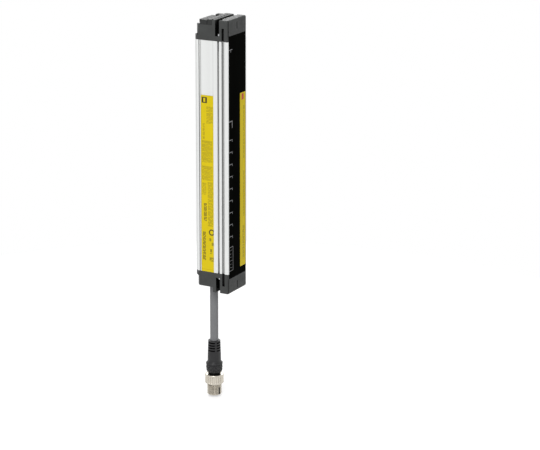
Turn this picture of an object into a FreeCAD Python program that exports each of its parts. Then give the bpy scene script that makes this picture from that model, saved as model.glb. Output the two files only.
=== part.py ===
import FreeCAD, Part
import os
import re

import Sketcher
from FreeCAD import Rotation, Vector

# Safety light curtain: one bar with its cable and round connector.
# The origin is the centre of the flat rear face, at mid-length. Z runs up the bar, the optical window
# faces -Y, and the rear face lies on Y = 0. Lengths are in millimetres.

SIZES = (
    # Aluminium profile
    ("housing_length", 191.0, "length of the aluminium profile"),
    ("profile_width", 31.0, "width across the window"),
    ("front_lip", 1.5, "metal beside the window"),
    ("lip_radius", 1.0, "rounding of the front corners"),
    ("rear_chamfer", 2.8, "bevel of the rear corners"),
    ("rebate_depth", 2.4, "depth of the window rebate"),
    ("bracket_groove_start", 3.1, "front edge of the bracket groove, from the front"),
    ("bracket_groove_width", 2.6, "mouth of the bracket groove"),
    ("bracket_groove_depth", 1.6, "depth of the bracket groove"),
    ("label_start", 13.2, "front edge of the label recess, from the front"),
    ("label_inset", 6.1, "rear edge of the label recess, from the rear face"),
    ("label_recess", 0.3, "depth of the label recess"),
    ("line_groove_inset", 4.6, "rear edge of the fine side groove, from the rear face"),
    ("line_groove_width", 0.8, "width of the fine side groove"),
    ("line_groove_depth", 0.6, "depth of the fine side groove"),
    # Screw ports of the profile
    ("port_radius", 1.25, "radius of the screw ports"),
    ("port_slit", 1.6, "width of the slit that opens each port"),
    ("front_port_inset", 3.3, "front ports, from the side"),
    ("front_port_setback", 8.7, "front ports, from the front"),
    ("rear_port_side", 9.2, "rear ports, from the middle plane"),
    ("rear_port_inset", 3.6, "rear ports, from the rear face"),
    # Cavity of the profile, front to rear
    ("mouth_wall", 4.1, "metal beside the cavity's mouth"),
    ("mouth_depth", 3.4, "depth of the mouth behind the window"),
    ("neck_wall", 1.55, "wall between the front ports and the neck"),
    ("neck_depth", 5.8, "depth of the neck"),
    ("side_wall", 1.9, "side walls of the main room"),
    ("room_rear", 6.6, "rear wall of the main room, from the rear face"),
    ("rear_room_half", 6.5, "half width between the rear ports"),
    ("service_room", 10.6, "room behind the circuit board"),
    ("rear_wall", 1.8, "wall behind the cavity"),
    ("track_width", 2.7, "width of the track that holds the optics frame"),
    ("track_rib", 1.0, "height and thickness of the rib behind the track"),
    # Window
    ("window_recess", 0.1, "window face behind the front plane"),
    ("window_gap", 0.1, "play beside the window"),
    ("window_overrun", 4.2, "window beyond each end of the profile"),
    ("window_bevel", 0.3, "bevel of the window's long edges"),
    ("seal_thickness", 0.5, "thickness of the window seal"),
    ("seal_width", 2.4, "width of the window seal"),
    # End caps
    ("cap_height", 17.0, "height of an end cap beyond the profile"),
    ("cap_inset", 0.15, "cap surface inside the profile surface"),
    ("cap_foot_height", 4.0, "foot that covers the whole profile"),
    ("cap_wall_height", 12.5, "height of the walls behind the rib"),
    ("cap_rear_step", 1.5, "rear wall in front of the foot"),
    ("front_block_depth", 7.8, "depth of the tall front block"),
    ("slot_width", 3.7, "width of the slot behind the front block"),
    ("rib_thickness", 2.7, "thickness of the rib behind the slot"),
    ("slot_floor", 4.0, "height of the slot's floor"),
    ("recess_screw_wall", 0.4, "wall between the cable recess and the rear screws"),
    ("recess_half", 9.9, "half width of the cable recess"),
    ("recess_floor", 3.0, "height of the recess floor"),
    ("recess_radius", 2.0, "rounded corners of the cable recess"),
    ("block_rounding", 1.3, "rounding of the front block's outer edges"),
    ("rib_rounding", 0.9, "rounding of the rib's outer edges"),
    ("wall_rounding", 0.6, "rounding of the low walls' outer edges"),
    ("notch_play", 0.1, "play of the cap's window notch"),
    ("hook_slot_start", 3.4, "front edge of the hook slot, from the front"),
    ("hook_slot_width", 2.2, "width of the hook slot"),
    ("hook_slot_depth", 1.6, "depth of the hook slot"),
    ("hook_slot_height", 10.5, "height of the hook slot"),
    ("corner_groove_inset", 1.7, "inner edge of the front corner groove, from the side"),
    ("corner_groove_width", 0.7, "width of the front corner groove"),
    ("corner_groove_depth", 0.5, "depth of the grooves in the front"),
    ("middle_groove_low", 8.6, "lower end of the short middle groove"),
    ("middle_groove_high", 14.4, "upper end of the short middle groove"),
    ("middle_groove_width", 0.8, "width of the short middle groove"),
    ("plug_depth", 5.0, "depth of the spigot in the cavity"),
    ("plug_gap", 0.15, "play of the spigot in the cavity"),
    ("plug_setback", 1.2, "spigot behind the window rebate"),
    ("plug_wall", 1.2, "wall of the hollow spigot"),
    ("gasket_land", 0.9, "gasket beyond the cavity's edge"),
    ("gasket_thickness", 0.8, "thickness of the cap gasket"),
    ("gasket_play", 0.1, "play around the cap gasket"),
    # Cap screws
    ("screw_radius", 1.2, "shank of the cap screws"),
    ("screw_length", 12.0, "shank length of the cap screws"),
    ("screw_head_radius", 2.2, "head of the cap screws"),
    ("screw_head_height", 1.7, "head height of the cap screws"),
    ("screw_play", 0.2, "play around screws in their holes and pockets"),
    ("drive_length", 2.4, "length of the cross recess in the heads"),
    ("drive_width", 0.6, "width of the cross recess"),
    ("drive_depth", 0.8, "depth of the cross recess"),
    # Blanking plug of the top cap
    ("plug_play", 0.1, "play of the blanking plug in its recess"),
    ("plug_head_drop", 1.6, "plug's rear half below the top of the cap"),
    ("plug_tab_drop", 0.7, "plug's side tabs below the top of the cap"),
    ("plug_cover", 0.1, "plug's rear half beyond the recess on each side"),
    ("plug_step_depth", 4.3, "depth of the plug's tall front half"),
    ("plug_tab_gap", 0.4, "side tabs behind the tall front half"),
    ("plug_tab_inset", 5.8, "rear edge of the side tabs, from the rear face"),
    ("plug_inset", 2.4, "rear edge of the plug, from the rear face"),
    ("plug_screw_side", 6.6, "plug screws, from the middle plane"),
    ("plug_screw_forward", 2.4, "plug screws, forward of the cable axis"),
    ("plug_screw_radius", 0.9, "shank of the plug screws"),
    ("plug_screw_head", 1.7, "head radius of the plug screws"),
    ("plug_screw_head_height", 1.1, "head height of the plug screws"),
    ("ring_seal_width", 1.0, "width of the plug seal"),
    ("ring_seal_height", 1.0, "height of the plug seal"),
    ("ring_seal_rise", 0.6, "plug seal above the end of the plug's spigot"),
    # Optics
    ("beam_pitch", 20.0, "distance between two beams"),
    ("beam_margin", 8.0, "least distance from a beam to the end of the frame"),
    ("frame_end_gap", 0.5, "play between the optics frame and a cap's spigot"),
    ("frame_gap", 0.2, "play of the optics in the profile"),
    ("barrel_front", 10.0, "edge of the square light barrel at the lens"),
    ("barrel_rear", 4.2, "edge of the light barrel at the emitter"),
    ("barrel_depth", 8.0, "length of the barrel's taper"),
    ("boss_wall", 1.0, "wall of the bosses behind the frame"),
    ("board_setback", 5.4, "board face behind the neck of the cavity"),
    ("lens_plate", 1.2, "thickness of the lens strip"),
    ("lens_edge", 10.0, "edge of a lens"),
    ("lens_sag", 1.6, "height of a lens"),
    ("emitter_edge", 3.6, "edge of an infrared emitter"),
    ("emitter_base", 1.4, "height of an emitter's base"),
    ("emitter_lens_edge", 2.4, "edge of the lens on an emitter"),
    ("emitter_lens_sag", 0.8, "height of the lens on an emitter"),
    ("emitter_play", 0.15, "play around an emitter"),
    ("pipe_inset", 1.5, "light pipes, inside the neck"),
    ("pipe_edge", 1.6, "edge of a light pipe"),
    ("pipe_play", 0.05, "play around a light pipe"),
    ("lamp_size", 1.6, "edge of a status lamp"),
    ("lamp_height", 0.6, "height of a status lamp"),
    # Circuit board
    ("board_gap", 0.6, "play beside the board"),
    ("board_thickness", 1.6, "thickness of the board"),
    ("board_screw_count", 3, "beam spaces from one board screw to the next"),
    ("board_screw_radius", 0.95, "shank of the board screws"),
    ("board_screw_depth", 5.0, "shank length beyond the board"),
    ("board_head_radius", 1.9, "head of the board screws"),
    ("board_head_height", 1.2, "head height of the board screws"),
    ("chip_height", 1.6, "height of the chips"),
    ("processor_edge", 10.0, "edge of the processor"),
    ("driver_width", 7.0, "width of a driver chip"),
    ("driver_length", 5.0, "length of a driver chip"),
    ("capacitor_radius", 3.1, "radius of a capacitor"),
    ("capacitor_height", 5.2, "height of a capacitor"),
    ("header_half", 4.4, "half width of the cable header"),
    ("header_height", 5.0, "height of the cable header above the board"),
    ("header_length", 8.0, "length of the cable header"),
    ("header_rise", 4.0, "header above the board's lower end"),
    ("lead_ribbon_width", 5.6, "width of the four leads side by side"),
    ("lead_thickness", 1.0, "thickness of a lead"),
    # Cable and its exit
    ("exit_inset", 9.0, "cable axis, from the rear face"),
    ("exit_radius", 4.65, "cable hole in the cap"),
    ("cable_radius", 3.4, "radius of the cable"),
    ("cable_play", 0.05, "play around the cable"),
    ("bush_flange_radius", 5.0, "inner flange of the cable bush"),
    ("bush_flange_height", 1.5, "height of that flange"),
    ("bush_rise", 4.2, "height of the bush above the recess floor"),
    ("bush_bevel", 0.6, "bevel at the outer end of the bush"),
    ("clamp_radius", 4.7, "outer radius of the crimp ring"),
    ("clamp_height", 3.4, "height of the crimp ring"),
    ("boot_drop", 63.5, "top of the connector boot below the profile"),
    ("cable_insertion", 5.0, "cable inside the connector boot"),
    # Connector
    ("relief_length", 10.0, "length of the ribbed strain relief"),
    ("relief_top_radius", 4.9, "strain relief at the cable"),
    ("relief_bottom_radius", 5.3, "strain relief at the body"),
    ("relief_groove_count", 4, "grooves of the strain relief"),
    ("relief_groove_depth", 0.9, "depth of the relief grooves"),
    ("relief_groove_width", 0.9, "width of the relief grooves"),
    ("body_length", 9.0, "length of the smooth connector body"),
    ("body_radius", 5.6, "radius of the connector body"),
    ("grip_length", 10.1, "length of the grip collar"),
    ("grip_radius", 6.95, "radius of the grip collar"),
    ("grip_bevel", 0.6, "bevel of the grip collar"),
    ("flute_count", 14, "flutes of the grip collar"),
    ("flute_depth", 0.5, "depth of a flute"),
    ("flute_width", 1.5, "width of a flute"),
    ("flute_margin", 1.0, "plain collar above and below the flutes"),
    ("spigot_radius", 4.9, "spigot that the nut turns on"),
    ("spigot_length", 6.4, "length of the spigot"),
    ("running_gap", 0.1, "play between the nut and what it turns on"),
    ("tail_radius", 3.6, "carrier inside the spigot"),
    ("tail_rise", 2.0, "carrier above the nut"),
    # Coupling nut, metric thread 12 x 1
    ("thread_radius", 6.0, "outer radius of the thread"),
    ("thread_length", 9.8, "length of the threaded sleeve"),
    ("knurl_radius", 7.75, "radius of the knurled ring"),
    ("knurl_length", 8.0, "length of the knurled ring"),
    ("knurl_bevel", 0.6, "bevel of the knurled ring"),
    ("knurl_count", 24, "teeth of the knurled ring"),
    ("knurl_depth", 0.45, "depth of the knurl"),
    ("knurl_gap", 0.9, "width of a knurl groove"),
    ("knurl_margin", 0.9, "plain rim above and below the knurl"),
    ("sleeve_bore", 4.9, "bore of the threaded sleeve"),
    ("lip_bore", 4.2, "bore of the nut's inner lip"),
    ("lip_thickness", 1.8, "thickness of the nut's inner lip"),
    ("neck_turn_radius", 5.4, "undercut above the thread"),
    ("neck_turn_width", 1.2, "width of the undercut"),
    ("sleeve_bevel", 0.6, "bevel at the end of the sleeve"),
    # Contacts
    ("carrier_head_height", 2.6, "flange that keeps the nut on"),
    ("contact_radius", 0.5, "radius of a contact pin"),
    ("contact_circle", 2.5, "radius of the circle of pins"),
    ("tail_play", 0.03, "play around the carrier's tail"),
    ("contact_tip", 15.8, "tip of the pins below the top of the nut"),
    # Labels
    ("label_thickness", 0.1, "thickness of the labels"),
    ("label_margin", 0.2, "side label inside its recess"),
    ("label_top", 51.0, "upper edge of both labels above mid-length"),
    ("window_label_width", 9.1, "width of the window label"),
    ("window_label_edge", 0.2, "window label inside the window's edge"),
    ("window_label_low", 1.9, "window label above the end of the profile"),
)

document = FreeCAD.newDocument("SafetyLightCurtain")
sheet = document.addObject("Spreadsheet::Sheet", "Sizes")
for row, (alias, number, meaning) in enumerate(SIZES, start=1):
    sheet.set(f"A{row}", meaning)
    sheet.set(f"B{row}", str(number))
    sheet.setAlias(f"B{row}", alias)
document.recompute()

ALIASES = {alias for alias, number, meaning in SIZES}

# Planes along Y, from the rear face forwards. The profile is as deep as what it holds: 31 mm.
BOARD_REAR = "(-rear_wall - service_room)"
BOARD = f"({BOARD_REAR} - board_thickness)"
ROOM = f"({BOARD} - board_setback)"
TRACK_END = f"({ROOM} + track_width)"
SHOULDER = f"({ROOM} - neck_depth)"
REBATE = f"({SHOULDER} - mouth_depth)"
FRONT = f"({REBATE} - rebate_depth)"
FRONT_PORT_Y = f"({FRONT} + front_port_setback)"
RECESS_REAR = "(-rear_port_inset - screw_head_radius - screw_play - recess_screw_wall)"
CABLE_AXIS = "(-exit_inset)"

# Widths, as halves of the symmetrical section
SIDE = "(profile_width / 2)"
REBATE_SIDE = f"({SIDE} - front_lip)"
FRONT_PORT_SIDE = f"({SIDE} - front_port_inset)"
MOUTH_SIDE = f"({SIDE} - mouth_wall)"
NECK_SIDE = f"({FRONT_PORT_SIDE} - port_radius - neck_wall)"
ROOM_SIDE = f"({SIDE} - side_wall)"
BOARD_SIDE = f"({ROOM_SIDE} - board_gap)"
PIPE_X = f"(pipe_inset - {NECK_SIDE})"

# Lengths along the bar
WINDOW_LENGTH = "(housing_length + 2 * window_overrun)"
FRAME_LENGTH = "(housing_length - 2 * (plug_depth + frame_end_gap))"
BEAM_SPACES = f"floor(({FRAME_LENGTH} - 2 * beam_margin) / beam_pitch)"
BEAM_SPAN = f"({BEAM_SPACES} * beam_pitch)"
FRAME_START = f"(({BEAM_SPAN} - {FRAME_LENGTH}) / 2)"
HALF_PITCH = "(beam_pitch / 2)"
CONNECTOR_TOP = "(-housing_length / 2 - boot_drop)"
GRIP_END = "(relief_length + body_length + grip_length)"
NUT_TOP = f"({CONNECTOR_TOP} - {GRIP_END} - running_gap)"
CARRIER_FLANGE = "(spigot_length + lip_thickness + running_gap)"

# Two lengths closer than this are the same
TOUCH = 0.001


def formula(text):
    """The text with each size name turned into a reference to the sheet."""
    return re.sub(r"[a-z_]+", lambda word: f"Sizes.{word[0]}" if word[0] in ALIASES else word[0], text)


def value(text):
    """What a formula over the size names comes to now."""
    return float(sheet.evalExpression(formula(text)))


def new_body(name, height="0", turned=False, forward="0", several=False):
    """A body at a height and a distance along Y, turned over about Y for the lower end."""
    body = document.addObject("PartDesign::Body", name)
    body.Label = name
    body.AllowCompound = several
    if turned:
        body.Placement.Rotation = Rotation(Vector(0, 1, 0), 180)
    body.setExpression("Placement.Base.y", formula(forward))
    body.setExpression("Placement.Base.z", formula(height))
    return body


def origin_feature(body, role):
    """An axis or plane of the body's own origin."""
    return next(feature for feature in body.Origin.OriginFeatures if feature.Role == role)


def new_sketch(body, name, offset="0", plane="XY_Plane"):
    """A sketch on a plane of the body, moved along the plane's normal."""
    sketch = body.newObject("Sketcher::SketchObject", f"{name}_sketch")
    sketch.AttachmentSupport = [(origin_feature(body, plane), "")]
    sketch.MapMode = "FlatFace"
    sketch.setExpression("AttachmentOffset.Base.z", formula(offset))
    return sketch


def tie(sketch, ties):
    """Bind sketch constraints, given as kind, geometry, point and formula, to the sheet."""
    constraints = []
    for kind, geometry, point, text in ties:
        if kind == "Radius":
            constraints.append(Sketcher.Constraint(kind, geometry, value(text)))
        else:
            constraints.append(Sketcher.Constraint(kind, -1, 1, geometry, point, value(text)))
    for number, (kind, geometry, point, text) in zip(sketch.addConstraint(constraints), ties):
        sketch.setExpression(f"Constraints[{number}]", formula(text))


def draw_outline(sketch, corners):
    """A closed outline of straight lines through corners given as pairs of formulas."""
    places = [Vector(value(x), value(y), 0) for x, y in corners]
    sides = [Part.LineSegment(start, end) for start, end in zip(places, places[1:] + places[:1])]
    lines = sketch.addGeometry(sides, False)
    following = lines[1:] + lines[:1]
    sketch.addConstraint([Sketcher.Constraint("Coincident", line, 2, after, 1)
                          for line, after in zip(lines, following)])
    ties = []
    for line, (x, y) in zip(lines, corners):
        ties.append(("DistanceX", line, 1, x))
        ties.append(("DistanceY", line, 1, y))
    tie(sketch, ties)


def draw_rectangle(sketch, left, right, low, high):
    """A rectangle between four formulas."""
    draw_outline(sketch, [(left, low), (right, low), (right, high), (left, high)])


def draw_circle(sketch, x, y, radius):
    """A circle whose centre and radius are formulas."""
    centre = Vector(value(x), value(y), 0)
    circle = sketch.addGeometry(Part.Circle(centre, Vector(0, 0, 1), value(radius)), False)
    tie(sketch, [("DistanceX", circle, 3, x), ("DistanceY", circle, 3, y), ("Radius", circle, 0, radius)])


def draw_square(sketch, x, y, edge):
    """A square about a centre."""
    half = f"({edge} / 2)"
    draw_rectangle(sketch, f"{x} - {half}", f"{x} + {half}", f"{y} - {half}", f"{y} + {half}")


def draw_lens(sketch, base, edge, sag):
    """The section of a lens: a chord along the sketch's vertical axis and its arc to the left."""
    foot = value(base)
    half = value(edge) / 2
    low = Vector(foot, -half, 0)
    high = Vector(foot, half, 0)
    top = Vector(foot - value(sag), 0, 0)
    arc = sketch.addGeometry(Part.Arc(high, top, low), False)
    chord = sketch.addGeometry(Part.LineSegment(low, high), False)
    sketch.addConstraint([
        Sketcher.Constraint("Coincident", chord, 1, arc, 2),
        Sketcher.Constraint("Coincident", chord, 2, arc, 1),
    ])
    tie(sketch, [
        ("DistanceX", chord, 1, base),
        ("DistanceY", chord, 1, f"-{edge} / 2"),
        ("DistanceX", chord, 2, base),
        ("DistanceY", chord, 2, f"{edge} / 2"),
        ("Radius", arc, 0, f"({edge} * {edge} / 4 + {sag} * {sag}) / (2 * {sag})"),
    ])


def extrude(kind, body, sketch, name, length, reverse=False):
    """A pad along the sketch's normal or a pocket against it, by a formula's length."""
    feature = body.newObject(f"PartDesign::{kind}", name)
    feature.Profile = sketch
    feature.Reversed = reverse
    feature.setExpression("Length", formula(length))
    sketch.Visibility = False
    return feature


def pad(body, sketch, name, length):
    """A pad along the sketch's normal."""
    return extrude("Pad", body, sketch, name, length)


def pocket(body, sketch, name, length):
    """A pocket against the sketch's normal, checked to take something away."""
    document.recompute()
    before = body.Shape.Volume
    feature = extrude("Pocket", body, sketch, name, length)
    document.recompute()
    if not body.Shape.Volume < before:
        raise RuntimeError(f"{body.Label}: {name} cuts nothing")
    return feature


def revolve(body, sketch, name, axis="V_Axis"):
    """A full turn of a half section about one of its sketch's axes."""
    feature = body.newObject("PartDesign::Revolution", name)
    feature.Profile = sketch
    feature.ReferenceAxis = (sketch, [axis])
    feature.Angle = 360
    sketch.Visibility = False
    return feature


def repeat_along(body, features, name, spacing, count):
    """Copies of some features along the body's Z axis."""
    pattern = body.newObject("PartDesign::LinearPattern", name)
    pattern.Originals = features
    pattern.Direction = (origin_feature(body, "Z_Axis"), [""])
    pattern.Mode = "Spacing"
    pattern.setExpression("Offset", formula(spacing))
    pattern.setExpression("Occurrences", formula(count))
    body.Tip = pattern
    return pattern


def repeat_around(body, features, name, count):
    """Copies of some features about the body's Z axis."""
    pattern = body.newObject("PartDesign::PolarPattern", name)
    pattern.Originals = features
    pattern.Axis = (origin_feature(body, "Z_Axis"), [""])
    pattern.Angle = 360
    pattern.setExpression("Occurrences", formula(count))
    body.Tip = pattern
    return pattern


def dress(kind, body, name, size, chosen):
    """A fillet or chamfer on the edges of the body that chosen accepts."""
    document.recompute()
    base = body.Tip
    edges = [f"Edge{number}" for number, edge in enumerate(base.Shape.Edges, start=1) if chosen(edge)]
    if not edges:
        raise RuntimeError(f"{body.Label}: {name} has no edge")
    feature = body.newObject(f"PartDesign::{kind}", name)
    feature.Base = (base, edges)
    feature.setExpression("Radius" if kind == "Fillet" else "Size", formula(size))
    return feature


def runs_along_z(edge):
    """Whether an edge is a straight line along Z."""
    first, last = edge.Vertexes[0].Point, edge.Vertexes[-1].Point
    return close(first.x, last.x) and close(first.y, last.y) and not close(first.z, last.z)


def close(first, second):
    """Whether two lengths agree."""
    return abs(first - second) < TOUCH


def both_sides(right):
    """A right half outline, front to rear, closed by its mirror image."""
    return right + [(f"-({x})", y) for x, y in reversed(right)]


def cavity_outline(gap, front, track=True):
    """The cavity's section drawn inwards by a gap, from a front plane, with or without its track ribs."""
    right = [
        (f"{MOUTH_SIDE} - {gap}", front),
        (f"{MOUTH_SIDE} - {gap}", f"{SHOULDER} - {gap}"),
        (f"{NECK_SIDE} - {gap}", f"{SHOULDER} - {gap}"),
        (f"{NECK_SIDE} - {gap}", f"{ROOM} + {gap}"),
        (f"{ROOM_SIDE} - {gap}", f"{ROOM} + {gap}"),
    ]
    if track:
        right += [
            (f"{ROOM_SIDE} - {gap}", f"{TRACK_END} - {gap}"),
            (f"{ROOM_SIDE} - track_rib - {gap}", f"{TRACK_END} - {gap}"),
            (f"{ROOM_SIDE} - track_rib - {gap}", f"{TRACK_END} + track_rib + {gap}"),
            (f"{ROOM_SIDE} - {gap}", f"{TRACK_END} + track_rib + {gap}"),
        ]
    right += [
        (f"{ROOM_SIDE} - {gap}", f"-room_rear - {gap}"),
        (f"rear_room_half - {gap}", f"-room_rear - {gap}"),
        (f"rear_room_half - {gap}", f"-rear_wall - {gap}"),
    ]
    return both_sides(right)


def screw_places():
    """The four screw ports, as pairs of formulas."""
    rear = "(-rear_port_inset)"
    return [
        (FRONT_PORT_SIDE, FRONT_PORT_Y),
        (f"-{FRONT_PORT_SIDE}", FRONT_PORT_Y),
        ("rear_port_side", rear),
        ("-rear_port_side", rear),
    ]


def draw_cross(sketch, x, y, length, width):
    """A cross recess centred on a place."""
    arm = f"({length} / 2)"
    half = f"({width} / 2)"
    quarter = [(arm, half), (half, half), (half, arm)]
    corners = list(quarter)
    corners += [(f"-{b}", a) for a, b in quarter]
    corners += [(f"-{a}", f"-{b}") for a, b in quarter]
    corners += [(b, f"-{a}") for a, b in quarter]
    draw_outline(sketch, [(f"{x} + {a}", f"{y} + {b}") for a, b in corners])


# Housing

def housing_extrusion():
    """The aluminium profile: outline, then each groove, recess and port cut along its whole length."""
    body = new_body("housing_extrusion", "-housing_length / 2")
    section = new_sketch(body, "profile")
    draw_outline(section, both_sides([
        (REBATE_SIDE, REBATE),
        (REBATE_SIDE, FRONT),
        (SIDE, FRONT),
        (SIDE, "-rear_chamfer"),
        (f"{SIDE} - rear_chamfer", "0"),
    ]))
    pad(body, section, "profile", "housing_length")
    dress("Fillet", body, "lip_corners", "lip_radius", lambda edge: runs_along_z(edge)
          and close(abs(edge.Vertexes[0].X), value(SIDE)) and close(edge.Vertexes[0].Y, value(FRONT)))

    cavity = new_sketch(body, "cavity", "housing_length")
    draw_outline(cavity, cavity_outline("0", f"({REBATE} - rebate_depth / 2)"))
    pocket(body, cavity, "cavity", "housing_length")

    bracket_grooves = new_sketch(body, "bracket_grooves", "housing_length")
    label_recesses = new_sketch(body, "label_recesses", "housing_length")
    line_grooves = new_sketch(body, "line_grooves", "housing_length")
    groove_start = f"{FRONT} + bracket_groove_start"
    groove_floor = f"{SIDE} - bracket_groove_depth"
    for sign in ("", "-"):
        draw_outline(bracket_grooves, [
            (f"{sign}({SIDE})", groove_start),
            (f"{sign}({groove_floor})", f"{groove_start} + bracket_groove_depth"),
            (f"{sign}({groove_floor})", f"{groove_start} + bracket_groove_width"),
            (f"{sign}({SIDE})", f"{groove_start} + bracket_groove_width"),
        ])
        draw_rectangle(label_recesses, f"{sign}({SIDE} - label_recess)", f"{sign}({SIDE})",
                       f"{FRONT} + label_start", "-label_inset")
        draw_rectangle(line_grooves, f"{sign}({SIDE} - line_groove_depth)", f"{sign}({SIDE})",
                       "-line_groove_inset - line_groove_width", "-line_groove_inset")
    pocket(body, bracket_grooves, "bracket_grooves", "housing_length")
    pocket(body, label_recesses, "label_recesses", "housing_length")
    pocket(body, line_grooves, "line_grooves", "housing_length")

    ports = new_sketch(body, "screw_ports", "housing_length")
    for x, y in screw_places():
        draw_circle(ports, x, y, "port_radius")
    pocket(body, ports, "screw_ports", "housing_length")
    slits = new_sketch(body, "port_slits", "housing_length")
    for sign in ("", "-"):
        draw_rectangle(slits, f"{sign}{FRONT_PORT_SIDE}", f"{sign}{SIDE}",
                       f"{FRONT_PORT_Y} - port_slit / 2", f"{FRONT_PORT_Y} + port_slit / 2")
        draw_rectangle(slits, f"{sign}rear_port_side - port_slit / 2",
                       f"{sign}rear_port_side + port_slit / 2", "-rear_port_inset", "0")
    pocket(body, slits, "port_slits", "housing_length")
    return body


def front_window():
    """The black window plate, let in flush and running into both caps."""
    body = new_body("front_window", "-housing_length / 2 - window_overrun")
    section = new_sketch(body, "window")
    draw_rectangle(section, f"-({REBATE_SIDE} - window_gap)", f"{REBATE_SIDE} - window_gap",
                   f"{FRONT} + window_recess", f"{REBATE} - seal_thickness")
    pad(body, section, "window", WINDOW_LENGTH)
    dress("Chamfer", body, "long_edges", "window_bevel", lambda edge: runs_along_z(edge)
          and close(edge.Vertexes[0].Y, value(f"{FRONT} + window_recess")))
    return body


def window_seal():
    """The seal frame between the window and the floor of its rebate."""
    body = new_body("window_seal", "-housing_length / 2 - window_overrun")
    frame = new_sketch(body, "seal", f"-{REBATE}", "XZ_Plane")
    half = f"({REBATE_SIDE} - window_gap)"
    draw_rectangle(frame, f"-{half}", half, "0", WINDOW_LENGTH)
    draw_rectangle(frame, f"-({half} - seal_width)", f"{half} - seal_width",
                   "seal_width", f"{WINDOW_LENGTH} - seal_width")
    pad(body, frame, "seal", "seal_thickness")
    return body


# End caps. Both are the same moulding, drawn with Z pointing out of the profile's end.

CAP_SIDE = f"({SIDE} - cap_inset)"
CAP_FRONT = f"({FRONT} + cap_inset)"
SLOT_END = "(front_block_depth + slot_width)"
RIB_END = f"({SLOT_END} + rib_thickness)"
PLUG_SCREW_Y = f"({CABLE_AXIS} - plug_screw_forward)"


def cap_body(name, lower, several=False):
    """A body on the upper end of the profile, or turned over on its lower end."""
    return new_body(name, "-housing_length / 2" if lower else "housing_length / 2", lower, several=several)


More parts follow.
